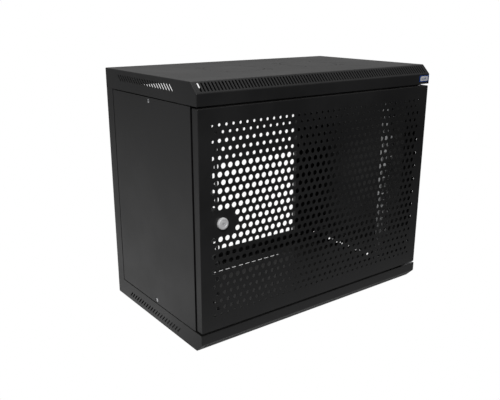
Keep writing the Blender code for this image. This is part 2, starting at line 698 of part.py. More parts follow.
make_cover("base_cover", 1)
make_cover("top_cover", -1)
make_hinge_plate("hinge_plate_base", (BASE_SKIRT - 2 * MM, BASE_SKIRT))
make_hinge_plate("hinge_plate_top", (COVER_TOP, COVER_TOP + 2 * MM))
make_front_beam("front_beam_base", *BEAM_LOW)
make_front_beam("front_beam_top", *BEAM_HIGH)
make_stud("earth_stud_frame", (-255 * MM, 90 * MM, COVER_SHEET + GAP), (-255 * MM, 90 * MM, 16 * MM))
box("badge_plate", (SIDE - 33 * MM, SIDE - 3 * MM), (FRONT - 0.6 * MM, FRONT - 0.1 * MM),
    (466 * MM, 479.5 * MM), badge_blue)

for side_name, side in SIDES.items():
    make_rear_post(side_name, side)
    make_front_post(side_name, side)
    for level_name in BRACKET_LEVELS:
        make_side_bracket(level_name, side_name, side)
    for level_name in ("base", "top"):
        make_frame_screw(level_name, side_name, side)

    rail_slide = axis_empty(f"rail_slide_{side_name}", (side * RACK_OPENING / 2, RAIL_Y, MIDDLE_HEIGHT))
    hang_on(rail_slide, make_rail(side_name, side))
    for level_name in BRACKET_LEVELS:
        hang_on(rail_slide, make_rail_screw(level_name, side_name, side))

    panel_mount = axis_empty(f"panel_mount_{side_name}", (side * SIDE, 0, MIDDLE_HEIGHT))
    hang_on(panel_mount, make_side_panel(side_name, side))
    for level_name in BRACKET_LEVELS:
        fastener_y, fastener_z = fastener_place(level_name)
        turn = axis_empty(f"fastener_axis_{level_name}_{side_name}", (side * SIDE, fastener_y, fastener_z))
        hang_on(turn, make_panel_fastener(level_name, side_name, side))
        hang_on(panel_mount, turn)

door_axis = axis_empty("door_axis", (HINGE_X, HINGE_Y, MIDDLE_HEIGHT))
hang_on(door_axis, make_door(), make_bottom_pin(), make_lock_barrel(), make_lock_nut(),
        make_pin_bracket("hinge_bracket_top", (425 * MM, 453.9 * MM)),
        make_pin_bracket("hinge_bracket_bottom", (43.6 * MM,)),
        make_stud("earth_stud_door", (284 * MM, FRONT + COVER_SHEET + GAP, 90 * MM),
                  (284 * MM, DOOR_BACK - 2 * MM, 90 * MM)))

pin_slide = axis_empty("pin_slide", (HINGE_X, HINGE_Y, 440 * MM))
hang_on(pin_slide, make_top_pin(), make_spring())
hang_on(door_axis, pin_slide)

lock_axis = axis_empty("lock_axis", lock_point(FRONT))
hang_on(lock_axis, make_lock_plug(), make_lock_cam(), make_cam_screw())
hang_on(door_axis, lock_axis)
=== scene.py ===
import math

import bmesh
import bpy
from mathutils import Matrix, Vector


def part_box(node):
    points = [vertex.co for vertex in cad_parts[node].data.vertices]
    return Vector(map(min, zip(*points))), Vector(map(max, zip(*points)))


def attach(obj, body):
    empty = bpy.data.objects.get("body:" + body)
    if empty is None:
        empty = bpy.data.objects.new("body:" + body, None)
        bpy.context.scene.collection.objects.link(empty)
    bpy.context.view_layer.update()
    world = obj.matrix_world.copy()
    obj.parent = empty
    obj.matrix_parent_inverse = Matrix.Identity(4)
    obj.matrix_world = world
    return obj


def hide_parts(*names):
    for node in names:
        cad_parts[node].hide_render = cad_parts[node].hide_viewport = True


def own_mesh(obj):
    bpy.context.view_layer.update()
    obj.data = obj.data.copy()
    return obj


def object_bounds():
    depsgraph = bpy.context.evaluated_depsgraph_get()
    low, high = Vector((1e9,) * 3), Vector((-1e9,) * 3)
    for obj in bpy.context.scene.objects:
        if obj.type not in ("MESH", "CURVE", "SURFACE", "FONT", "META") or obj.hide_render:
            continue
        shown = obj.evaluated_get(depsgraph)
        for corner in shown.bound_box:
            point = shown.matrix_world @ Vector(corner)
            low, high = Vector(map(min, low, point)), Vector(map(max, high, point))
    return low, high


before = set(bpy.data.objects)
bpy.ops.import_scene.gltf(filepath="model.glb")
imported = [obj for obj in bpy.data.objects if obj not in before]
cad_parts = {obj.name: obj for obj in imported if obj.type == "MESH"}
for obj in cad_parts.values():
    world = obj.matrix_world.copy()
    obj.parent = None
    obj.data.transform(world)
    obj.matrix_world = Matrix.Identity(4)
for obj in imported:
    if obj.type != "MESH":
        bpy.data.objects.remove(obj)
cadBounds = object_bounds()
mm = 0.001
sideSigns = {"left": -1, "right": 1}
facing = (math.radians(90), 0, 0)           # turns what is made flat to face the front
scene = bpy.context.scene


def report(stage):
    print("cabinet:", stage)


def inMillimetres(**sizes):
    return {name: size * mm for name, size in sizes.items()}


# node helpers, used for shaders and geometry alike

def addNode(tree, kind, inputs=None, **settings):
    node = tree.nodes.new(kind)
    for key, value in settings.items():
        setattr(node, key, value)
    for key, value in (inputs or {}).items():
        socket = node.inputs[key]
        if isinstance(value, bpy.types.NodeSocket):
            tree.links.new(value, socket)
        else:
            socket.default_value = value
    return node


def newGroup(name, kind, inputs, outputs):
    # inputs and outputs are listed by the type of their sockets
    tree = bpy.data.node_groups.new(name, kind)
    for way, sockets in (("INPUT", inputs), ("OUTPUT", outputs)):
        for socketType, labels in sockets.items():
            for label in labels:
                tree.interface.new_socket(label, in_out=way, socket_type="NodeSocket" + socketType)
    return tree, tree.nodes.new("NodeGroupInput").outputs, tree.nodes.new("NodeGroupOutput").inputs


def mathNode(tree, operation, first, second=0.0, third=0.0):
    node = addNode(tree, "ShaderNodeMath", operation=operation)
    for index, value in enumerate((first, second, third)):
        if isinstance(value, bpy.types.NodeSocket):
            tree.links.new(value, node.inputs[index])
        else:
            node.inputs[index].default_value = value
    return node.outputs[0]


def addMix(tree, factor, first, second):
    # the colour sockets of a mix node are numbers 6 and 7, its colour output number 2
    node = addNode(tree, "ShaderNodeMix", data_type="RGBA")
    for index, socket in ((0, factor), (6, first), (7, second)):
        tree.links.new(socket, node.inputs[index])
    return node.outputs[2]


# shader groups shared by the finishes

groupLook = {"rippleShare": 0.4, "dustColour": (0.2, 0.19, 0.18, 1), "dustScale": 14.0}


def makeGrainGroup():
    tree, given, result = newGroup("surfaceGrain", "ShaderNodeTree", {
        "Vector": ["Vector"], "Float": ["Grain Size", "Ripple Size"]}, {"Float": ["Height"]})
    grain = addNode(tree, "ShaderNodeTexNoise", {
        "Vector": given["Vector"], "Scale": mathNode(tree, "DIVIDE", 1.0, given["Grain Size"]),
        "Detail": 2.0, "Roughness": 0.55})
    ripple = addNode(tree, "ShaderNodeTexNoise", {
        "Vector": given["Vector"], "Scale": mathNode(tree, "DIVIDE", 1.0, given["Ripple Size"]),
        "Detail": 1.0})
    share = mathNode(tree, "MULTIPLY", ripple.outputs["Fac"], groupLook["rippleShare"])
    tree.links.new(mathNode(tree, "ADD", grain.outputs["Fac"], share), result["Height"])
    return tree


def makeToneGroup():
    tree, given, result = newGroup("patchTone", "ShaderNodeTree", {
        "Vector": ["Vector", "Stretch"], "Color": ["Tone A", "Tone B"],
        "Float": ["Patch Size", "Rough A", "Rough B"]}, {"Color": ["Colour"], "Float": ["Roughness"]})
    stretched = addNode(tree, "ShaderNodeVectorMath", {0: given["Vector"], 1: given["Stretch"]},
                        operation="MULTIPLY")
    cloud = addNode(tree, "ShaderNodeTexNoise", {
        "Vector": stretched.outputs[0], "Scale": mathNode(tree, "DIVIDE", 1.0, given["Patch Size"]),
        "Detail": 5.0, "Roughness": 0.6})
    mask = addNode(tree, "ShaderNodeMapRange", {"Value": cloud.outputs["Fac"], "From Min": 0.35,
                                                "From Max": 0.65}, interpolation_type="SMOOTHSTEP")
    rough = addNode(tree, "ShaderNodeMapRange", {"Value": mask.outputs["Result"],
                                                 "To Min": given["Rough A"], "To Max": given["Rough B"]})
    tree.links.new(addMix(tree, mask.outputs["Result"], given["Tone A"], given["Tone B"]),
                   result["Colour"])
    tree.links.new(rough.outputs["Result"], result["Roughness"])
    return tree


def makeDustGroup():
    tree, given, result = newGroup("settledDust", "ShaderNodeTree", {
        "Vector": ["Vector"], "Color": ["Colour"], "Float": ["Amount"]}, {"Color": ["Colour"]})
    upward = addNode(tree, "ShaderNodeSeparateXYZ",
                     {0: tree.nodes.new("ShaderNodeNewGeometry").outputs["Normal"]})
    facing = mathNode(tree, "POWER", mathNode(tree, "MAXIMUM", upward.outputs["Z"], 0.0), 3.0)
    patches = addNode(tree, "ShaderNodeTexNoise", {
        "Vector": given["Vector"], "Scale": groupLook["dustScale"], "Detail": 6.0})
    mask = mathNode(tree, "MULTIPLY", mathNode(tree, "MULTIPLY", facing, patches.outputs["Fac"]),
                    given["Amount"])
    dust = tree.nodes.new("ShaderNodeRGB").outputs[0]
    dust.default_value = groupLook["dustColour"]
    tree.links.new(addMix(tree, mask, given["Colour"], dust), result["Colour"])
    return tree


grainGroup = makeGrainGroup()
toneGroup = makeToneGroup()
dustGroup = makeDustGroup()

# each finish states what differs from this one
plainFinish = {"metallic": 0.0, "stretch": (1, 1, 1), "grain": 0.3 * mm, "ripple": 2 * mm,
               "depth": 0.01 * mm, "dust": 0.0, "specular": 0.5}
finishes = {
    "powderCoat": {"toneA": (0.0125, 0.0125, 0.013), "toneB": (0.016, 0.016, 0.0165),
                   "roughA": 0.40, "roughB": 0.48, "patch": 0.15, "grain": 0.9 * mm, "ripple": 5 * mm,
                   "bump": 0.25, "depth": 0.05 * mm, "dust": 0.12, "specular": 0.4},
    "zincPlate": {"toneA": (0.50, 0.51, 0.52), "toneB": (0.66, 0.67, 0.67), "roughA": 0.28,
                  "roughB": 0.46, "metallic": 0.85, "patch": 0.02, "stretch": (1, 1, 0.5),
                  "grain": 0.5 * mm, "ripple": 3 * mm, "bump": 0.08, "depth": 0.02 * mm, "dust": 0.02},
    "brightChrome": {"toneA": (0.70, 0.71, 0.73), "toneB": (0.78, 0.78, 0.79), "roughA": 0.16,
                     "roughB": 0.27, "metallic": 1.0, "patch": 0.008, "bump": 0.04},
    "satinChrome": {"toneA": (0.86, 0.86, 0.87), "toneB": (0.90, 0.90, 0.91), "roughA": 0.42,
                    "roughB": 0.52, "metallic": 0.35, "patch": 0.008, "bump": 0.04, "specular": 0.6},
    "springWire": {"toneA": (0.36, 0.36, 0.38), "toneB": (0.48, 0.48, 0.49), "roughA": 0.26,
                   "roughB": 0.4, "metallic": 1.0, "patch": 0.004, "grain": 0.2 * mm,
                   "ripple": 1 * mm, "bump": 0.05},
    "badgeBlue": {"toneA": (0.012, 0.05, 0.25), "toneB": (0.02, 0.075, 0.32), "roughA": 0.25,
                  "roughB": 0.34, "patch": 0.01, "grain": 0.4 * mm, "bump": 0.03},
    "badgeMark": {"toneA": (0.62, 0.63, 0.65), "toneB": (0.74, 0.74, 0.75), "roughA": 0.3,
                  "roughB": 0.42, "patch": 0.006, "bump": 0.03},
}


def makeFinish(name, own):
    look = {**plainFinish, **own}
    material = bpy.data.materials.new(name)
    material.use_nodes = True
    tree = material.node_tree
    shader = tree.nodes["Principled BSDF"].inputs
    spot = tree.nodes.new("ShaderNodeTexCoord").outputs["Object"]
    tone = addNode(tree, "ShaderNodeGroup", {
        "Vector": spot, "Patch Size": look["patch"], "Tone A": (*look["toneA"], 1),
        "Tone B": (*look["toneB"], 1), "Rough A": look["roughA"], "Rough B": look["roughB"],
        "Stretch": look["stretch"]}, node_tree=toneGroup)
    colour = tone.outputs["Colour"]
    if look["dust"] > 0:
        dust = addNode(tree, "ShaderNodeGroup", {
            "Vector": spot, "Colour": colour, "Amount": look["dust"]}, node_tree=dustGroup)
        colour = dust.outputs["Colour"]
    grain = addNode(tree, "ShaderNodeGroup", {"Vector": spot, "Grain Size": look["grain"],
                                              "Ripple Size": look["ripple"]}, node_tree=grainGroup)
    bump = addNode(tree, "ShaderNodeBump", {"Strength": look["bump"], "Distance": look["depth"],
                                            "Height": grain.outputs["Height"]})
    tree.links.new(colour, shader["Base Color"])
    tree.links.new(tone.outputs["Roughness"], shader["Roughness"])
    tree.links.new(bump.outputs["Normal"], shader["Normal"])
    shader["Metallic"].default_value = look["metallic"]
    shader["Specular IOR Level"].default_value = look["specular"]
    return material


materials = {name: makeFinish(name, look) for name, look in finishes.items()}
report("finishes made")


# geometry node trees for what repeats

def newShape(name, inputs):
    return newGroup(name, "GeometryNodeTree", {**inputs, "Material": ["Material"]},
                    {"Geometry": ["Geometry"]})


def finishShape(tree, shape, material, result):
    real = addNode(tree, "GeometryNodeRealizeInstances", {"Geometry": shape.outputs[0]})
    coated = addNode(tree, "GeometryNodeSetMaterial", {"Geometry": real.outputs[0], "Material": material})
    tree.links.new(coated.outputs[0], result[0])
    return tree


def makeHoleField():
    # staggered rows of cylinders; the point past a shifted row's end and those near the clear point go
    tree, given, result = newShape("holeField", {
        "Int": ["Columns", "Rows", "Sides", "First Shift"],
        "Float": ["Pitch", "Row Pitch", "Radius", "Depth", "Clear Radius"],
        "Vector": ["Corner", "Clear Point"]})
    index = tree.nodes.new("GeometryNodeInputIndex").outputs[0]
    row = mathNode(tree, "FLOOR", mathNode(tree, "DIVIDE", mathNode(tree, "ADD", index, 0.5),
                                           given["Columns"]))
    column = mathNode(tree, "SUBTRACT", index, mathNode(tree, "MULTIPLY", row, given["Columns"]))
    shift = mathNode(tree, "MODULO", mathNode(tree, "ADD", row, given["First Shift"]), 2.0)
    across = mathNode(tree, "MULTIPLY", given["Pitch"],
                      mathNode(tree, "MULTIPLY_ADD", shift, 0.5, column))
    down = mathNode(tree, "MULTIPLY", mathNode(tree, "MULTIPLY", row, given["Row Pitch"]), -1.0)
    offset = addNode(tree, "ShaderNodeCombineXYZ", {"X": across, "Z": down})
    spot = addNode(tree, "ShaderNodeVectorMath", {0: given["Corner"], 1: offset.outputs[0]},
                   operation="ADD")
    points = addNode(tree, "GeometryNodePoints", {
        "Count": mathNode(tree, "MULTIPLY", given["Columns"], given["Rows"]),
        "Position": spot.outputs[0]})
    beyond = mathNode(tree, "GREATER_THAN", mathNode(tree, "ADD", column, shift),
                      mathNode(tree, "SUBTRACT", given["Columns"], 0.5))
    away = addNode(tree, "ShaderNodeVectorMath", {0: spot.outputs[0], 1: given["Clear Point"]},
                   operation="DISTANCE")
    near = mathNode(tree, "LESS_THAN", away.outputs["Value"], given["Clear Radius"])
    kept = addNode(tree, "GeometryNodeDeleteGeometry", {
        "Geometry": points.outputs[0], "Selection": mathNode(tree, "MAXIMUM", beyond, near)},
        domain="POINT")
    punch = addNode(tree, "GeometryNodeMeshCylinder", {
        "Vertices": given["Sides"], "Radius": given["Radius"], "Depth": given["Depth"]})
    placed = addNode(tree, "GeometryNodeInstanceOnPoints", {
        "Points": kept.outputs[0], "Instance": punch.outputs["Mesh"],
        "Rotation": facing})
    return finishShape(tree, placed, given["Material"], result)


def makeSlotRow():
    # rounded flat bars set at equal steps
    tree, given, result = newShape("slotRow", {
        "Int": ["Count"], "Float": ["Length", "Width", "Corner", "Depth"], "Vector": ["Start", "Step"],
        "Rotation": ["Turn"]})
    outline = addNode(tree, "GeometryNodeCurvePrimitiveQuadrilateral",
                      {"Width": given["Length"], "Height": given["Width"]}, mode="RECTANGLE")
    rounded = addNode(tree, "GeometryNodeFilletCurve", {
        "Curve": outline.outputs[0], "Count": 4, "Radius": given["Corner"], "Limit Radius": True},
        mode="POLY")
    flat = addNode(tree, "GeometryNodeFillCurve", {"Curve": rounded.outputs[0]}, mode="NGONS")
    lift = addNode(tree, "ShaderNodeCombineXYZ", {"Z": given["Depth"]})
    raised = addNode(tree, "GeometryNodeExtrudeMesh", {
        "Mesh": flat.outputs[0], "Offset": lift.outputs[0], "Offset Scale": 1.0, "Individual": False},
        mode="FACES")
    under = addNode(tree, "GeometryNodeFlipFaces", {"Mesh": flat.outputs[0]})
    both = tree.nodes.new("GeometryNodeJoinGeometry")
    for half in (raised, under):
        tree.links.new(half.outputs[0], both.inputs[0])
    closed = addNode(tree, "GeometryNodeMergeByDistance", {
        "Geometry": both.outputs[0], "Distance": 0.01 * mm})
    back = addNode(tree, "ShaderNodeCombineXYZ", {"Z": mathNode(tree, "MULTIPLY", given["Depth"], -0.5)})
    centred = addNode(tree, "GeometryNodeTransform", {
        "Geometry": closed.outputs[0], "Translation": back.outputs[0]})
    line = addNode(tree, "GeometryNodeMeshLine", {
        "Count": given["Count"], "Start Location": given["Start"], "Offset": given["Step"]},
        mode="OFFSET")
    placed = addNode(tree, "GeometryNodeInstanceOnPoints", {
        "Points": line.outputs[0], "Instance": centred.outputs[0], "Rotation": given["Turn"]})
    return finishShape(tree, placed, given["Material"], result)


def makeCoil():
    tree, given, result = newShape("coil", {
        "Float": ["Turns", "Coil Radius", "Rise", "Wire Radius"], "Vector": ["Foot"]})
    spiral = addNode(tree, "GeometryNodeCurveSpiral", {
        "Resolution": 24, "Rotations": given["Turns"], "Start Radius": given["Coil Radius"],
        "End Radius": given["Coil Radius"], "Height": given["Rise"]})
    wire = addNode(tree, "GeometryNodeCurvePrimitiveCircle", {
        "Resolution": 10, "Radius": given["Wire Radius"]}, mode="RADIUS")
    swept = addNode(tree, "GeometryNodeCurveToMesh", {
        "Curve": spiral.outputs[0], "Profile Curve": wire.outputs[0], "Fill Caps": True})
    moved = addNode(tree, "GeometryNodeTransform", {
        "Geometry": swept.outputs[0], "Translation": given["Foot"]})
    return finishShape(tree, moved, given["Material"], result)


holeField = makeHoleField()
slotRow = makeSlotRow()
coil = makeCoil()


def grow(tree, name, values):
    # runs a geometry tree once and keeps its result as a plain mesh object
    holder = bpy.data.objects.new(name, bpy.data.meshes.new(name))
    scene.collection.objects.link(holder)
    modifier = holder.modifiers.new("nodes", "NODES")
    modifier.node_group = tree
    for item in tree.interface.items_tree:
        if item.in_out == "INPUT" and item.name in values:
            modifier[item.identifier] = values[item.name]
    return bake(holder)


def bake(piece):
    # the evaluated shape becomes the object's own mesh
    bpy.context.view_layer.update()
    graph = bpy.context.evaluated_depsgraph_get()
    mesh = bpy.data.meshes.new_from_object(piece.evaluated_get(graph), preserve_all_data_layers=True,
                                           depsgraph=graph)
    old = piece.data
    piece.modifiers.clear()
    piece.data = mesh
    mesh.name = piece.name
    if old.users == 0:
        bpy.data.meshes.remove(old)
    return piece


def discard(objects):
    for each in objects:
        bpy.data.objects.remove(each, do_unlink=True)


# mesh helpers

def place(name, bm, recalculate=True):
    if recalculate:
        bmesh.ops.recalc_face_normals(bm, faces=bm.faces)
    mesh = bpy.data.meshes.new(name)
    bm.to_mesh(mesh)
    bm.free()
    piece = bpy.data.objects.new(name, mesh)
    scene.collection.objects.link(piece)
    return piece


def addBlock(bm, low, high):
    low, high = Vector(low), Vector(high)
    small = Vector(map(min, low, high))
    size = Vector(map(max, low, high)) - small
    matrix = Matrix.Translation(small + size / 2) @ Matrix.Diagonal((*size, 1))
    return bmesh.ops.create_cube(bm, size=1.0, matrix=matrix)["verts"]


def block(name, low, high, edge=0.0, segments=2):
    bm = bmesh.new()
    addBlock(bm, low, high)
    if edge > 0:
        bmesh.ops.bevel(bm, geom=bm.edges[:], offset=edge, segments=segments, affect="EDGES", profile=0.5)
    return place(name, bm)


def aim(bm, foot, axis):
    # moves a shape made along Z to its foot and turns it along the axis
    turn = Vector(axis).to_track_quat("Z", "Y").to_matrix().to_4x4()
    bmesh.ops.transform(bm, matrix=Matrix.Translation(foot) @ turn, verts=bm.verts)


def turned(name, profile, foot, axis, steps=48):
    # a profile of (radius, height) pairs spun round an axis; radius 0 closes an end
    bm = bmesh.new()
    verts = [bm.verts.new((max(radius, 0.0), 0, height)) for radius, height in profile]
    closed = profile[0][0] > 0
    edges = [bm.edges.new((a, b)) for a, b in zip(verts, verts[1:])]
    if closed:
        edges.append(bm.edges.new((verts[-1], verts[0])))
    bmesh.ops.spin(bm, geom=verts + edges, cent=(0, 0, 0), axis=(0, 0, 1), angle=2 * math.pi, steps=steps,
                   use_duplicate=False)
    bmesh.ops.remove_doubles(bm, verts=bm.verts, dist=0.000001)
    aim(bm, foot, axis)
    return place(name, bm)


def disc(radius, low, high, edge=0.2 * mm):
    # the profile of a plain disc with eased edges
    return [(0, low), (radius - edge, low), (radius, low + edge), (radius, high - edge),
            (radius - edge, high), (0, high)]


def drill(radius, start, end, foot, axis, steps=24):
    # a plain round cutter between two depths along its axis
    return turned("drill", disc(radius, start, end, 0.0), foot, axis, steps)


def prism(name, sides, radius, foot, axis, height, spin=0.0, edge=0.3 * mm):
    bm = bmesh.new()
    bmesh.ops.create_cone(bm, cap_ends=True, segments=sides, radius1=radius, radius2=radius, depth=height,
                          matrix=Matrix.Translation((0, 0, height / 2)) @ Matrix.Rotation(spin, 4, "Z"))
    if edge > 0:
        rims = [e for e in bm.edges if abs(e.verts[0].co.z - e.verts[1].co.z) < 0.00001]
        bmesh.ops.bevel(bm, geom=rims, offset=edge, segments=1, affect="EDGES")
    aim(bm, foot, axis)
    return place(name, bm)


def mergeInto(piece, tools, operation, solver="MANIFOLD"):
    for index, tool in enumerate(tools):
        step = piece.modifiers.new(f"step{index}", "BOOLEAN")
        step.operation = operation
        step.solver = solver
        step.object = tool
    bake(piece)
    discard(tools)
    return piece


def cut(piece, *tools, solver="MANIFOLD"):
    return mergeInto(piece, tools, "DIFFERENCE", solver)


def weld(piece, *tools, solver="MANIFOLD"):
    return mergeInto(piece, tools, "UNION", solver)


def slots(name, start, length, width, depth, turn, corner, count=1, step=(0, 0, mm), finish="powderCoat"):
    return grow(slotRow, name, {
        "Count": count, "Length": length, "Width": width, "Corner": corner,
        "Depth": depth, "Start": start,
        "Step": step, "Turn": turn, "Material": materials[finish]})


def middle(node):
    low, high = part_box(node)
    return (low + high) / 2


def sides(low, high, side):
    # a box's inner and outer X for a piece on that side of the cabinet
    return (low.x, high.x) if side > 0 else (high.x, low.x)


def finishPiece(piece, finish, body, nodes, sharp=28.0):
    # smooth shading with flat faces kept flat, then the finish and the place in the model
    mesh = piece.data
    mesh.materials.clear()
    mesh.materials.append(materials[finish])
    mesh.polygons.foreach_set("material_index", [0] * len(mesh.polygons))
    mesh.shade_smooth()
    mesh.set_sharp_from_angle(angle=math.radians(sharp))
    weighted = piece.modifiers.new("flatFaces", "WEIGHTED_NORMAL")
    weighted.keep_sharp = True
    weighted.weight = 80
    bake(piece)
    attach(piece, body)
    if nodes:
        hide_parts(*nodes)
    return piece


def roundedPath(points, radius, steps=4):
    # corners of an open outline become arcs
    points = [Vector(p) for p in points]
    path = [points[0]]
    for before, corner, after in zip(points, points[1:], points[2:]):
        if min((before - corner).length, (after - corner).length) < 2 * radius:
            path.append(corner)                  # a short step keeps its sharp corners
            continue
        toBefore, toAfter = (before - corner).normalized(), (after - corner).normalized()
        half = toBefore.angle(toAfter) / 2
        reach = radius / math.tan(half)
        centre = corner + (toBefore + toAfter).normalized() * radius / math.sin(half)
        first, last = corner + toBefore * reach - centre, corner + toAfter * reach - centre
        turn = first.angle_signed(last)
        for step in range(steps + 1):
            path.append(centre + Matrix.Rotation(-turn * step / steps, 2) @ first)
    path.append(points[-1])
    return path


def foldedStrip(name, outline, low, high, sheet, bend, upward, mirrored=False):
    # sheet folded along an outline in one plane and run between two places on the third axis
    bm = bmesh.new()
    path = roundedPath(outline[::-1] if mirrored else outline, bend)
    rows = [[bm.verts.new(upward(p.x, p.y, level)) for p in path] for level in (low, high)]
    for i in range(len(path) - 1):
        bm.faces.new((rows[0][i], rows[0][i + 1], rows[1][i + 1], rows[1][i]))
    piece = place(name, bm, recalculate=False)
    thicken(piece, sheet)
    return bake(piece)


def thicken(piece, sheet):
    solid = piece.modifiers.new("sheet", "SOLIDIFY")
    solid.thickness = sheet
    solid.offset = -1
    solid.use_even_offset = True
    return piece


def foldedTray(name, low, high, openSide, sheet, bend, chamferTest=None, chamfer=0.0):
    # a box of sheet without the face on its open side, its folds rounded
    bm = bmesh.new()
    addBlock(bm, low, high)
    bm.normal_update()
    lid = [f for f in bm.faces if f.normal.dot(Vector(openSide)) > 0.9]
    bmesh.ops.delete(bm, geom=lid, context="FACES")
    if chamferTest:
        edges = [e for e in bm.edges if all(chamferTest(v.co) for v in e.verts)]
        bmesh.ops.bevel(bm, geom=edges, offset=chamfer, segments=1, affect="EDGES")
    folds = [e for e in bm.edges if not e.is_boundary]
    bmesh.ops.bevel(bm, geom=folds, offset=bend, segments=3, affect="EDGES", profile=0.5,
                    clamp_overlap=True)
    piece = place(name, bm, recalculate=False)
    thicken(piece, sheet)
    return bake(piece)


report("tools ready")

# roof and base covers

coverLook = {
    **inMillimetres(
        sheet=1.2, bend=1.5, chamfer=18.8, ventPitch=7.1, ventLength=19.5, ventWidth=3.4,
        sidePitch=10.1, sideFirst=64.5, sideLength=17, sideWidth=3.2, sideHeight=16, fanSpacing=200,
        fanRadius=62.5, fanScrew=52.5, score=1.0, fanScrewWidth=4.6, fanScrewLength=12,
        cableHalf=137, cableFront=127, cableBack=155, cableScore=1.6, cableTab=4, cornerSlit=3,
        baseCableFront=128.6, baseCableSlit=4),
    "rounding": 0.49, "ventCount": 82, "sideCount": 21, "tabAngle": math.radians(7),
}


def arcBlade(bm, centre, radius, width, start, sweep, low, high, steps=16):
    rings = []
    for step in range(steps + 1):
        angle = start + sweep * step / steps
        way = Vector((math.cos(angle), math.sin(angle), 0))
        ring = []
        for reach, level in ((-1, low), (1, low), (1, high), (-1, high)):
            spot = Vector(centre) + way * (radius + reach * width / 2)
            ring.append(bm.verts.new((spot.x, spot.y, level)))
        rings.append(ring)
    for a, b in zip(rings, rings[1:]):
        for i in range(4):
            j = (i + 1) % 4
            bm.faces.new((a[i], a[j], b[j], b[i]))
    bm.faces.new(rings[0])
    bm.faces.new(rings[-1])


def sideways(lean):
    # turns a slot's cutter to run along X, its length leaning in the YZ plane
    return (Matrix.Rotation(lean, 3, "X") @ Matrix.Rotation(math.radians(90), 3, "Y")).to_euler()


def coverCutters(name, low, high, up):
    look = coverLook
    plate = low.z if up > 0 else high.z          # the plate's outer level
    zLow, zHigh = plate - 4 * mm, plate + 4 * mm
    bm = bmesh.new()
    fans = (-1, 1) if up < 0 else ()             # only the roof has fan knock-outs
    for fan in fans:
        for quarter in range(4):
            arcBlade(bm, (fan * look["fanSpacing"] / 2, 0, 0), look["fanRadius"], look["score"],
                     quarter * math.pi / 2 + look["tabAngle"] / 2, math.pi / 2 - look["tabAngle"],
                     zLow, zHigh)
    half, tab, score = look["cableHalf"], look["cableTab"], look["cableScore"]
    front, slit = look["cableFront"], score
    if up > 0:                                   # the base has an open slit in front instead
        front, slit = look["baseCableFront"], look["baseCableSlit"]
    for sign in (-1, 1):
        for edge, width in ((front, slit), (look["cableBack"], score)):
            addBlock(bm, (sign * tab, edge, zLow), (sign * (half - tab), edge + width, zHigh))
        addBlock(bm, (sign * half, front + slit + tab, zLow),
                 (sign * (half - score), look["cableBack"] - tab, zHigh))
        slitInner = high.x - look["sheet"] - look["cornerSlit"]
        slitLow, slitHigh = sorted((plate + up * 4 * mm, plate + up * 60 * mm))
        addBlock(bm, (sign * slitInner, high.y - 6 * mm, slitLow),
                 (sign * (slitInner + look["cornerSlit"]), high.y + 4 * mm, slitHigh))
    scored = place(name + "Scored", bm)
    lean = math.radians(45) * up
    ventX = -(look["ventCount"] - 1) * look["ventPitch"] / 2
    rounding = look["rounding"]
    tools = [
        slots("vents", (ventX, low.y + look["chamfer"] / 2, plate + up * look["chamfer"] / 2),
              look["ventWidth"], look["ventLength"], 12 * mm, (-lean, 0, 0), look["ventWidth"] * rounding,
              look["ventCount"], (look["ventPitch"], 0, 0)),
        slots("sideSlots", (0, high.y - look["sideFirst"], plate + up * look["sideHeight"]),
              look["sideLength"], look["sideWidth"], (high.x - low.x) + 20 * mm, sideways(lean),
              look["sideWidth"] * rounding, look["sideCount"], (0, -look["sidePitch"], 0))]
    for fan in fans:
        for sx in (-1, 1):
            for sy in (-1, 1):
                spot = (fan * look["fanSpacing"] / 2 + sx * look["fanScrew"],
                        sy * look["fanScrew"], plate)
                length = look["fanScrewLength"] if sx != sy else look["fanScrewWidth"]
                tools.append(slots("fanScrew", spot, length, look["fanScrewWidth"], 10 * mm,
                                   (0, 0, math.atan2(sy, sx)), look["fanScrewWidth"] * rounding))
    return [scored] + tools


def buildCover(node, name, up):
    low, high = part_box(node)
    plate = low.z if up > 0 else high.z

    def onFrontFold(point):
        return abs(point.y - low.y) < mm and abs(point.z - plate) < mm

    cover = foldedTray(name, low, high, (0, 0, up), coverLook["sheet"], coverLook["bend"], onFrontFold,
                       coverLook["chamfer"])
    cut(cover, *coverCutters(name, low, high, up))
    return finishPiece(cover, "powderCoat", "cabinet_frame", [node])


buildCover("base_cover", "baseCoverSheet", 1)
buildCover("top_cover", "roofCoverSheet", -1)
report("covers folded")

# perforated door

doorLook = {
    **inMillimetres(
        sheet=1.2, bend=1.6, pitch=15, margin=30, clearRadius=25, clearInset=52.5, lockHole=9.7,
        pinHole=3.3),
    "columns": 37, "holeSides": 20,
    # each band: first row's drop, rows, row pitch, hole diameter, first row's shift
    "bands": ((74.0, 2, 12.5, 5.4, 0), (101.5, 3, 15, 7.2, 0), (146.5, 15, 15, 10.2, 1),
              (371.5, 4, 15, 7.2, 0), (429.0, 1, 12.5, 5.4, 0)),
}


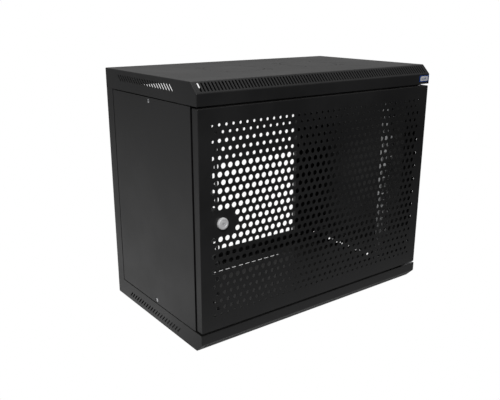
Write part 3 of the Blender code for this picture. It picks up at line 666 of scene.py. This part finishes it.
def buildDoor():
    look = doorLook
    low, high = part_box("door_panel")
    left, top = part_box("base_cover")[0].x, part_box("top_cover")[1].z
    lock, pin = middle("lock_plug"), middle("hinge_pin_top")
    door = foldedTray("doorSheet", low, high, (0, 1, 0), look["sheet"], look["bend"])
    tools = []
    for drop, rows, rowPitch, diameter, shift in look["bands"]:
        tools.append(grow(holeField, "doorHoles", {
            "Columns": look["columns"], "Rows": rows, "Pitch": look["pitch"],
            "Row Pitch": rowPitch * mm, "Radius": diameter * mm / 2, "Depth": 8 * mm,
            "Sides": look["holeSides"], "First Shift": shift,
            "Corner": (left + look["margin"], low.y, top - drop * mm),
            "Clear Point": (left + look["clearInset"], low.y, lock.z),
            "Clear Radius": look["clearRadius"], "Material": materials["powderCoat"]}))
    tools.append(drill(look["lockHole"], -5 * mm, 5 * mm, (lock.x, low.y, lock.z), (0, 1, 0), 48))
    tools.append(drill(look["pinHole"], -5 * mm, high.z - low.z + 10 * mm, (pin.x, pin.y, low.z),
                       (0, 0, 1)))
    cut(door, *tools)
    return finishPiece(door, "powderCoat", "door", ["door_panel"])


buildDoor()
report("door perforated")

# corner posts and side brackets

postLook = inMillimetres(
    sheet=1.5, bend=1.7, joggle=1.6, joggleReach=10, lip=12, keyEntry=7, keySlot=3.5, keyRise=16,
    keyInset=42, keyLevel=376, wallHole=3.5, wallInset=35.5, wallLevel=96.4, coverGap=0.3,
    tabHeight=46, tabFront=3.1, tabBack=1.4, tabOuter=10, tabInner=8)


def onFloorPlan(x, y, level):
    return (x, y, level)


def alongCabinet(x, z, level):
    return (x, level, z)


def acrossCabinet(y, z, level):
    return (level, y, z)


def buildRearPost(sideName, side):
    look = postLook
    node = f"post_rear_{sideName}"
    low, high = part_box(node)
    inner, outer = sides(low, high, side)
    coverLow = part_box("base_cover")[1].z + look["coverGap"]
    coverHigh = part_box("top_cover")[0].z - look["coverGap"]
    behindPanel = outer - side * look["joggle"]
    step = low.y + look["joggleReach"]
    outline = [(behindPanel, low.y), (behindPanel, step), (outer, step), (outer, high.y), (inner, high.y),
               (inner, high.y - look["lip"])]
    post = foldedStrip(f"rearPost{sideName.title()}", outline, coverLow, coverHigh, look["sheet"],
                       look["bend"], onFloorPlan, side < 0)
    weld(post, *[block("tab", (outer - side * look["tabOuter"], high.y - look["tabFront"], foot),
                       (inner + side * look["tabInner"], high.y - look["tabBack"],
                        foot + look["tabHeight"]), 0.4 * mm)
                for foot in (low.z, high.z - look["tabHeight"])])
    keyX, wallX = outer - side * look["keyInset"], outer - side * look["wallInset"]
    level, slot = look["keyLevel"], look["keySlot"]
    cut(post, drill(look["keyEntry"], -6 * mm, 6 * mm, (keyX, high.y, level), (0, 1, 0), 40),
        drill(look["wallHole"], -6 * mm, 6 * mm, (wallX, high.y, look["wallLevel"]), (0, 1, 0), 32),
        slots("keySlot", (keyX, high.y, level + look["keyRise"] / 2 + slot / 2), 2 * slot,
              look["keyRise"] + slot, 12 * mm, facing, slot * 0.98))
    return finishPiece(post, "powderCoat", "cabinet_frame", [node])


def buildFrontPost(sideName, side):
    node = f"post_front_{sideName}"
    low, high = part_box(node)
    inner, outer = sides(low, high, side)
    outline = [(inner, low.y), (outer, low.y), (outer, high.y)]
    post = foldedStrip(f"frontPost{sideName.title()}", outline, low.z, high.z, postLook["sheet"],
                       postLook["bend"], onFloorPlan, side < 0)
    return finishPiece(post, "powderCoat", "cabinet_frame", [node])


def buildBeam(end):
    # web behind the cover's front skirt, flange along the cover's plate
    node = f"front_beam_{end}"
    low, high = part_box(node)
    flange, edge = (low.z, high.z) if end == "base" else (high.z, low.z)
    outline = [(low.y, edge), (low.y, flange), (high.y, flange)]
    beam = foldedStrip(f"frontBeam{end.title()}", outline, low.x, high.x, postLook["sheet"],
                       postLook["bend"], acrossCabinet, end == "top")
    return finishPiece(beam, "powderCoat", "cabinet_frame", [node])


bracketLook = inMillimetres(
    travel=120, slotWidth=6.8, slotEnds=12, slotCorner=3.3)


def buildBracket(levelName, sideName, side):
    node = f"side_bracket_{levelName}_{sideName}"
    low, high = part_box(node)
    inner, outer = sides(low, high, side)
    outline = [(outer, low.z), (inner, low.z), (inner, high.z), (outer, high.z)]
    bracket = foldedStrip(f"sideBracket{levelName.title()}{sideName.title()}", outline, low.y, high.y,
                          postLook["sheet"], postLook["bend"], alongCabinet, side < 0)
    screw = middle(f"rail_screw_{levelName}_{sideName}")
    travel, width = bracketLook["travel"], bracketLook["slotWidth"]
    cut(bracket, slots("railSlot", (inner, screw.y + travel / 2, screw.z), width,
                       travel + bracketLook["slotEnds"], 14 * mm, (0, math.radians(90), 0),
                       bracketLook["slotCorner"]))
    return finishPiece(bracket, "powderCoat", "cabinet_frame", [node])


for sideName, side in sideSigns.items():
    buildRearPost(sideName, side)
    buildFrontPost(sideName, side)
    for levelName in ("lower", "upper"):
        buildBracket(levelName, sideName, side)
for end in ("base", "top"):
    buildBeam(end)
report("frame standing")

# rack rails

railLook = {
    **inMillimetres(
        sheet=2, bend=2.6, unit=44.45, hole=9.5, columnSpacing=465.1, holeCorner=0.6, lip=9,
        markColumn=25, markSize=6, screwHole=3.4),
    "units": 9, "offsets": (6.35 * mm, 22.225 * mm, 38.1 * mm),
}


def buildRail(sideName, side):
    look = railLook
    node = f"rail_{sideName}"
    low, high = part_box(node)
    inner, outer = sides(low, high, side)
    outline = [(inner, low.y + look["lip"]), (inner, low.y), (outer, low.y), (outer, high.y)]
    rail = foldedStrip(f"rackRail{sideName.title()}", outline, low.z, high.z, look["sheet"], look["bend"],
                       onFloorPlan, side < 0)
    firstUnit = (low.z + high.z) / 2 - look["units"] * look["unit"] / 2

    def column(x, firstZ, width):
        return slots("railHoles", (x, low.y, firstZ), width, width, 10 * mm, facing,
                     look["holeCorner"], look["units"], (0, 0, look["unit"]), "zincPlate")

    tools = [column(side * look["columnSpacing"] / 2, firstUnit + offset, look["hole"])
             for offset in look["offsets"]]
    tools.append(column(inner + side * look["markColumn"], firstUnit + look["unit"] / 2,
                        look["markSize"]))
    for levelName in ("lower", "upper"):
        screw = middle(f"rail_screw_{levelName}_{sideName}")
        tools.append(drill(look["screwHole"], -6 * mm, 6 * mm, (outer, screw.y, screw.z), (1, 0, 0)))
    cut(rail, *tools)
    return finishPiece(rail, "zincPlate", f"rack_rail_{sideName}", [node])


for sideName, side in sideSigns.items():
    buildRail(sideName, side)
report("rails cut")

# removable side panels with their quarter-turn fasteners

panelLook = inMillimetres(
    sheet=1.2, edge=0.45, cupRadius=5.6, recessRadius=4.9, cupDepth=4.2, recessDepth=3.4,
    headRadius=4.3, slotWidth=1.3, fold=8, foldClear=2, foldInset=0.05, ease=0.5, shank=2.5,
    shankHole=2.9)


def buildPanel(sideName, side):
    look = panelLook
    node = f"side_panel_{sideName}"
    low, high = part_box(node)
    outer = high.x if side > 0 else low.x
    panel = block(f"sidePanel{sideName.title()}", (outer, low.y, low.z),
                  (outer - side * look["sheet"], high.y, high.z), look["edge"])
    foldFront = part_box(f"post_front_{sideName}")[1].y + look["foldClear"]
    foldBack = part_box(f"post_rear_{sideName}")[0].y - look["foldClear"]
    folds = []
    for level in (low.z + look["foldInset"], high.z - look["sheet"] - look["foldInset"]):
        folds.append(block("fold", (outer - side * (look["sheet"] + look["fold"]), foldFront, level),
                           (outer - side * look["sheet"] / 2, foldBack, level + look["sheet"]), 0.2 * mm))
    weld(panel, *folds)
    cups, tools = [], []
    ease, recess, floor = look["ease"], look["recessRadius"], look["recessDepth"]
    for levelName in ("lower", "upper"):
        centre = middle(f"panel_fastener_{levelName}_{sideName}")
        foot, inward = (outer, centre.y, centre.z), (-side, 0, 0)
        cups.append(turned("cup", disc(look["cupRadius"], ease, look["cupDepth"], ease), foot, inward))
        dish = [(0, -2 * mm), (recess + ease, -2 * mm), (recess + ease, 0), (recess, ease),
                (recess, floor - ease), (recess - ease, floor), (0, floor)]
        tools.append(turned("dish", dish, foot, inward))
        tools.append(drill(look["shankHole"], 2 * mm, 8 * mm, foot, inward))
    weld(panel, *cups)
    cut(panel, *tools)
    return finishPiece(panel, "powderCoat", f"side_cover_{sideName}", [node])


def buildFastener(levelName, sideName, side):
    look = panelLook
    node = f"panel_fastener_{levelName}_{sideName}"
    low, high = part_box(node)
    centre = middle(node)
    inner, tip = sides(low, high, side)
    length = abs(tip - inner)
    radius, shank = look["headRadius"], look["shank"]
    profile = [(0, 0), (radius * 0.55, 0.08 * mm), (radius * 0.85, 0.35 * mm), (radius, 0.9 * mm),
               (radius, 2.4 * mm), (radius - 0.2 * mm, 2.6 * mm), (shank, 2.6 * mm),
               (shank, length - 0.4 * mm), (shank - 0.4 * mm, length), (0, length)]
    fastener = turned(f"panelFastener{levelName.title()}{sideName.title()}", profile,
                      (tip, centre.y, centre.z), (-side, 0, 0))
    reach, half = 6 * mm, look["slotWidth"] / 2
    cut(fastener, block("groove", (tip + side * 1 * mm, centre.y - reach, centre.z - half),
                        (tip - side * 1.5 * mm, centre.y + reach, centre.z + half)))
    return finishPiece(fastener, "brightChrome", f"fastener_{levelName}_{sideName}", [node])


for sideName, side in sideSigns.items():
    buildPanel(sideName, side)
    for levelName in ("lower", "upper"):
        buildFastener(levelName, sideName, side)
report("side panels made")

# cam lock

lockLook = inMillimetres(
    headRadius=11, headHeight=5.7, rim=1.7, bodyRadius=9.4, bore=6.4, plugRadius=6.25, keyWidth=6.6,
    keyHeight=1.9, keyDepth=9, notchWidth=2.2, notchDrop=1.7, plugBody=23.5, plugTail=4.2,
    thread=2.2, threadDepth=8, nutHole=9.7, camHole=2.3, camScrewHead=2.2, camScrewShank=1.95)


def buildLock():
    look = lockLook
    low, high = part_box("lock_barrel")
    centre = (low + high) / 2
    front = Vector((centre.x, low.y, centre.z))
    length = high.y - low.y
    head, rim, body, bore = look["headRadius"], look["rim"], look["bodyRadius"], look["bore"]
    profile = [(bore, 0.6 * mm), (bore + 0.5 * mm, 0.15 * mm), (bore + 1.1 * mm, 0),
               (head - rim - 0.3 * mm, 0), (head - rim * 0.55, 0.35 * mm),
               (head - rim * 0.2, 1.1 * mm), (head, 2.2 * mm),
               (head, look["headHeight"] - 0.3 * mm), (head - 0.3 * mm, look["headHeight"]),
               (body, look["headHeight"])]
    ridge = look["headHeight"] + 1.5 * mm
    while ridge < length - 2 * mm:
        profile += [(body, ridge), (body - 0.55 * mm, ridge + 0.5 * mm), (body, ridge + 1.0 * mm)]
        ridge += 1.25 * mm
    profile += [(body, length - 0.5 * mm), (body - 0.5 * mm, length), (bore, length)]
    barrel = turned("lockBarrel", profile, front, (0, 1, 0), 64)
    finishPiece(barrel, "satinChrome", "door", ["lock_barrel"], 24)

    low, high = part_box("lock_plug")
    front = Vector((centre.x, low.y, centre.z))
    length = high.y - low.y
    radius, tail, turnAt = look["plugRadius"], look["plugTail"], look["plugBody"]
    core = [(0, 0.1 * mm), (radius - 0.6 * mm, 0.1 * mm), (radius, 0.5 * mm), (radius, turnAt),
            (tail, turnAt + 0.2 * mm), (tail, length - 0.3 * mm), (tail - 0.3 * mm, length), (0, length)]
    plug = turned("lockPlug", core, front, (0, 1, 0), 48)
    cutLow, cutHigh = low.y - 2 * mm, low.y + look["keyDepth"]
    key, tall, notch = look["keyWidth"] / 2, look["keyHeight"] / 2, look["notchWidth"] / 2
    cut(plug,
        block("keyway", (centre.x - key, cutLow, centre.z - tall),
              (centre.x + key, cutHigh, centre.z + tall), 0.3 * mm),
        block("notch", (centre.x - notch, cutLow, centre.z - look["notchDrop"]),
              (centre.x + notch, cutHigh, centre.z), 0.2 * mm),
        drill(look["thread"], length - look["threadDepth"], length + 4 * mm, front, (0, 1, 0)))
    finishPiece(plug, "satinChrome", "lock_core", ["lock_plug"])

    low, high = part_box("lock_nut")
    foot = (centre.x, low.y, centre.z)
    nut = prism("lockNut", 6, (high.z - low.z) / 2, foot, (0, 1, 0), high.y - low.y, 0.0, 0.5 * mm)
    cut(nut, drill(look["nutHole"], -3 * mm, 12 * mm, foot, (0, 1, 0), 48))
    finishPiece(nut, "zincPlate", "door", ["lock_nut"])

    low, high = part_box("lock_cam")
    half = (high.x - low.x) / 2
    cam = slots("lockCam", (centre.x, (low.y + high.y) / 2, (low.z + high.z) / 2),
                2 * half, high.z - low.z,
                high.y - low.y, facing, half * 0.55, finish="zincPlate")
    cut(cam, drill(look["camHole"], -4 * mm, 4 * mm, (centre.x, low.y, centre.z), (0, 1, 0)))
    finishPiece(cam, "zincPlate", "lock_core", ["lock_cam"])

    low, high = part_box("cam_screw")
    buildScrew("camScrew", (centre.x, high.y, centre.z), (0, -1, 0), (high.x - low.x) / 2,
               look["camScrewHead"], look["camScrewShank"], high.y - low.y, "lock_core", "cam_screw")


def buildScrew(name, foot, axis, headRadius, headHeight, shankRadius, length, body, node):
    # pan head with a cross recess; foot is the head's top and axis runs down the shank
    profile = [(0, 0), (headRadius * 0.5, 0.06 * headHeight), (headRadius * 0.82, 0.25 * headHeight),
               (headRadius, 0.62 * headHeight), (headRadius, 0.95 * headHeight),
               (headRadius * 0.96, headHeight)]
    if length > headHeight + 0.5 * mm:
        profile += [(shankRadius, headHeight), (shankRadius, length - shankRadius * 0.4),
                    (shankRadius * 0.6, length), (0, length)]
    else:
        profile += [(0, headHeight)]
    screw = turned(name, profile, foot, axis, 36)
    for spin in (45, 135):                       # one arm at a time, so that no cutter crosses itself
        bm = bmesh.new()
        spun = Matrix.Rotation(math.radians(spin), 4, "Z")
        size = (headRadius * 1.1, headRadius * 0.24, headHeight * 1.1)
        bmesh.ops.create_cube(bm, size=1.0, matrix=spun @ Matrix.Diagonal((*size, 1)))
        aim(bm, foot, axis)
        cut(screw, place("crossArm", bm))
    return finishPiece(screw, "zincPlate", body, [node])


buildLock()
report("lock built")

# screws, studs and hinge pieces

screwLook = inMillimetres(frameShank=2, railHead=4, railShank=3)
for sideName, side in sideSigns.items():
    for levelName in ("base", "top"):
        node = f"frame_screw_{levelName}_{sideName}"
        low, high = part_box(node)
        centre, length = middle(node), high.y - low.y
        buildScrew(f"frameScrew{levelName.title()}{sideName.title()}", (centre.x, low.y, centre.z),
                   (0, 1, 0), (high.x - low.x) / 2, length, screwLook["frameShank"], length,
                   "cabinet_frame", node)
    for levelName in ("lower", "upper"):
        node = f"rail_screw_{levelName}_{sideName}"
        low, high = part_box(node)
        centre = middle(node)
        buildScrew(f"railScrew{levelName.title()}{sideName.title()}",
                   (low.x if side > 0 else high.x, centre.y, centre.z), (side, 0, 0),
                   (high.y - low.y) / 2, screwLook["railHead"], screwLook["railShank"],
                   high.x - low.x, f"rack_rail_{sideName}", node)

studLook = inMillimetres(
    radius=3, root=2.6, firstRidge=0.6, flank=0.4, pitch=1.0, end=1.4, tip=2.4, nutRadius=5.7,
    nutFoot=3, nutHeight=5, washerRadius=5.0, washerLow=1.6, washerHigh=2.7)


def buildStud(name, node, axis, body):
    look = studLook
    low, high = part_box(node)
    way = Vector(axis)
    length = abs((high - low).dot(way))
    foot = middle(node) - way * length / 2
    radius, ridge = look["radius"], look["firstRidge"]
    profile = [(0, 0), (radius, 0)]
    while ridge < length - look["end"]:
        profile += [(radius, ridge), (look["root"], ridge + look["flank"]), (radius, ridge + 0.8 * mm)]
        ridge += look["pitch"]
    profile += [(radius, length - 0.6 * mm), (look["tip"], length), (0, length)]
    stud = turned(name, profile, foot, way, 32)
    nut = prism("nut", 6, look["nutRadius"], foot + way * look["nutFoot"], way, look["nutHeight"], 0.0,
                0.5 * mm)
    washer = turned("washer", disc(look["washerRadius"], look["washerLow"], look["washerHigh"],
                    0.15 * mm),
                    foot, way, 32)
    weld(stud, nut, washer, solver="EXACT")
    return finishPiece(stud, "zincPlate", body, [node], 24)


buildStud("earthStudFrame", "earth_stud_frame", (0, 0, 1), "cabinet_frame")
buildStud("earthStudDoor", "earth_stud_door", (0, 1, 0), "door")


hingeLook = {
    **inMillimetres(
        wire=0.5, coilRadius=4.0, plateHole=3.1, legHole=3.3, sheet=1.5, bend=2.0),
    "turns": 6.0, "keep": 0.48,
}


def buildHinge():
    look = hingeLook
    low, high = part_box("hinge_pin_top")
    centre = middle("hinge_pin_top")
    length, knob = high.z - low.z, (high.x - low.x) / 2
    profile = [(0, 0), (knob - 0.8 * mm, 0), (knob, 0.8 * mm),
               (knob, 3 * mm), (knob - 1.2 * mm, 4.2 * mm),
               (knob - 1.2 * mm, 5.8 * mm), (knob, 7 * mm), (knob, 9.2 * mm), (knob - 0.8 * mm, 10 * mm),
               (3 * mm, 10 * mm), (3 * mm, 38 * mm), (4.5 * mm, 38 * mm), (4.8 * mm, 38.3 * mm),
               (4.8 * mm, 39.7 * mm), (4.5 * mm, 40 * mm), (3 * mm, 40 * mm), (3 * mm, length - 1.2 * mm),
               (2.0 * mm, length), (0, length)]
    pin = turned("hingePinTop", profile, (centre.x, centre.y, low.z), (0, 0, 1), 40)
    finishPiece(pin, "brightChrome", "hinge_latch", ["hinge_pin_top"])

    springLow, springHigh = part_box("hinge_spring")
    wire = look["wire"]
    spring = grow(coil, "hingeSpring", {
        "Turns": look["turns"], "Coil Radius": look["coilRadius"],
        "Rise": springHigh.z - springLow.z - 2.1 * wire, "Wire Radius": wire,
        "Foot": (centre.x, centre.y, springLow.z + wire), "Material": materials["springWire"]})
    finishPiece(spring, "springWire", "hinge_latch", ["hinge_spring"], 60)
    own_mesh(spring)

    low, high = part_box("hinge_pin_bottom")
    length = high.z - low.z
    profile = [(0, 0), (2.0 * mm, 0), (3 * mm, 1.2 * mm), (3 * mm, 14.4 * mm), (4.7 * mm, 14.4 * mm),
               (5 * mm, 14.7 * mm), (5 * mm, 16.1 * mm), (4.7 * mm, 16.4 * mm), (3 * mm, 16.4 * mm),
               (3 * mm, length - 0.6 * mm), (2.4 * mm, length), (0, length)]
    pin = turned("hingePinBottom", profile, (centre.x, centre.y, low.z), (0, 0, 1), 40)
    finishPiece(pin, "brightChrome", "door", ["hinge_pin_bottom"])

    for end in ("base", "top"):
        node = f"hinge_plate_{end}"
        low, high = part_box(node)
        plate = block(f"hingePlate{end.title()}", low, high, 0.4 * mm)
        cut(plate, drill(look["plateHole"], -4 * mm, 6 * mm, (centre.x, centre.y, low.z), (0, 0, 1), 32))
        finishPiece(plate, "zincPlate", "cabinet_frame", [node])

    for end in ("top", "bottom"):
        node = f"hinge_bracket_{end}"
        low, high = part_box(node)
        outline = [(low.x, low.z), (high.x, low.z), (high.x, high.z)]
        if end == "top":
            outline.append((low.x, high.z))
        bracket = foldedStrip(f"hingeBracket{end.title()}", outline, low.y, high.y, look["sheet"],
                              look["bend"], alongCabinet, True)
        cut(bracket, drill(look["legHole"], -4 * mm, high.z - low.z + 8 * mm,
                           (centre.x, centre.y, low.z), (0, 0, 1), 32))
        finishPiece(bracket, "powderCoat", "door", [node])


buildHinge()
report("hinges fitted")

# badge with a plain generic mark

badgeLook = {
    **inMillimetres(
        edge=0.2, fieldWidth=25, fieldHeight=10, barWidth=2.2, barGap=2.4, barHeight=4.2,
        relief=0.05),
    "bars": 3,
}


def buildBadge():
    look = badgeLook
    low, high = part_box("badge_plate")
    relief, width, height = look["relief"], look["barWidth"], look["barHeight"]
    low = low + Vector((0, 2 * relief, 0))
    plate = block("badgePlate", low, high, look["edge"])
    finishPiece(plate, "badgeBlue", "cabinet_frame", ["badge_plate"])
    centre = (low + high) / 2
    field = slots("badgeField", (centre.x, low.y, centre.z), look["fieldWidth"], look["fieldHeight"],
                  2 * relief, facing, look["fieldHeight"] * 0.3, finish="badgeMark")
    finishPiece(field, "badgeMark", "cabinet_frame", [])
    bm = bmesh.new()
    foot = centre.z - height / 2
    for bar in range(look["bars"]):
        x = centre.x + (bar - (look["bars"] - 1) / 2) * (width + look["barGap"])
        addBlock(bm, (x - width / 2, low.y - 2 * relief, foot),
                 (x + width / 2, low.y + relief, foot + height * (0.4 + 0.3 * bar)))
    finishPiece(place("badgeBars", bm), "badgeBlue", "cabinet_frame", [])


buildBadge()

# camera, floor and light

cameraLook = {"lens": 44.98, "place": (-0.84492, -1.05014, 0.61282), "tilt": 73.154, "heading": -36.824,
              "roll": 0.10}
lightLook = {"floorGlow": 0.85, "floorFade": 2.2, "frontFade": 3.5, "front": 0.12, "back": 0.28,
             "overhead": 0.16, "keyPower": 36, "topPower": 11, "floorSize": 8.0, "floorDrop": 0.2 * mm}


def makeCamera():
    data = bpy.data.cameras.new("view")
    data.lens = cameraLook["lens"]
    data.sensor_width = 36.0
    data.clip_start = 0.01
    data.clip_end = 50.0
    camera = bpy.data.objects.new("view", data)
    scene.collection.objects.link(camera)
    heading = Matrix.Rotation(math.radians(cameraLook["heading"]), 4, "Z")
    tilt = Matrix.Rotation(math.radians(cameraLook["tilt"]), 4, "X")
    roll = Matrix.Rotation(math.radians(cameraLook["roll"]), 4, "Z")
    camera.matrix_world = Matrix.Translation(cameraLook["place"]) @ heading @ tilt @ roll
    scene.camera = camera


def makeFloor():
    # a white sweep: plain white in view, and as a light brightest beneath and behind the cabinet
    bm = bmesh.new()
    level = cadBounds[0].z - lightLook["floorDrop"]
    bmesh.ops.create_grid(bm, x_segments=2, y_segments=2, size=lightLook["floorSize"],
                          matrix=Matrix.Translation((0, 0, level)))
    floor = place("studioFloor", bm, recalculate=False)
    material = bpy.data.materials.new("paleFloor")
    material.use_nodes = True
    tree = material.node_tree
    shader = tree.nodes["Principled BSDF"].inputs
    for socket, value in (("Base Color", (0, 0, 0, 1)), ("Specular IOR Level", 0.0),
                          ("Emission Color", (1, 1, 1, 1))):
        shader[socket].default_value = value
    spot = addNode(tree, "ShaderNodeNewGeometry").outputs["Position"]
    reach = addNode(tree, "ShaderNodeVectorMath", {0: spot}, operation="LENGTH").outputs["Value"]
    depth = addNode(tree, "ShaderNodeSeparateXYZ", {0: spot}).outputs["Y"]
    fade = mathNode(tree, "DIVIDE", reach, -lightLook["floorFade"])
    frontFade = mathNode(tree, "MULTIPLY", mathNode(tree, "MINIMUM", depth, 0.0), lightLook["frontFade"])
    glow = mathNode(tree, "MULTIPLY", mathNode(tree, "EXPONENT", mathNode(tree, "ADD", fade, frontFade)),
                    lightLook["floorGlow"])
    seen = tree.nodes.new("ShaderNodeLightPath").outputs["Is Camera Ray"]
    tree.links.new(mathNode(tree, "MAXIMUM", seen, glow), shader["Emission Strength"])
    floor.data.materials.append(material)


def makeWorld():
    # white in view; as a light dim in front, brighter behind and above
    world = bpy.data.worlds.new("softStudio")
    world.use_nodes = True
    scene.world = world
    tree = world.node_tree
    tree.nodes.clear()
    direction = tree.nodes.new("ShaderNodeTexCoord").outputs["Generated"]
    way = addNode(tree, "ShaderNodeSeparateXYZ", {0: direction}).outputs
    behind = addNode(tree, "ShaderNodeMapRange", {
        "Value": way["Y"], "From Min": -0.5, "From Max": 0.7, "To Min": lightLook["front"],
        "To Max": lightLook["back"]}, interpolation_type="SMOOTHSTEP")
    above = mathNode(tree, "MULTIPLY", mathNode(tree, "MAXIMUM", way["Z"], 0.0),
                     lightLook["overhead"])
    glow = mathNode(tree, "ADD", behind.outputs["Result"], above)
    seen = tree.nodes.new("ShaderNodeLightPath").outputs["Is Camera Ray"]
    lit = addNode(tree, "ShaderNodeBackground", {"Color": (1, 1, 1, 1),
                                                 "Strength": mathNode(tree, "MAXIMUM", seen, glow)})
    output = tree.nodes.new("ShaderNodeOutputWorld")
    tree.links.new(lit.outputs[0], output.inputs[0])


def addPanelLight(name, place, target, size, power):
    data = bpy.data.lights.new(name, "AREA")
    data.shape = "RECTANGLE"
    data.size, data.size_y = size
    data.energy = power
    light = bpy.data.objects.new(name, data)
    light.location = place
    light.rotation_mode = "QUATERNION"
    light.rotation_quaternion = (Vector(target) - Vector(place)).to_track_quat("-Z", "Y")
    scene.collection.objects.link(light)


makeCamera()
makeFloor()
makeWorld()
addPanelLight("key", (-1.3, -1.5, 1.7), (0, 0, 0.25), (1.2, 1.2), lightLook["keyPower"])
addPanelLight("overhead", (0.0, 0.5, 2.2), (0, 0, 0.3), (2.0, 1.6), lightLook["topPower"])
scene.view_settings.view_transform = "Standard"
report("studio lit")
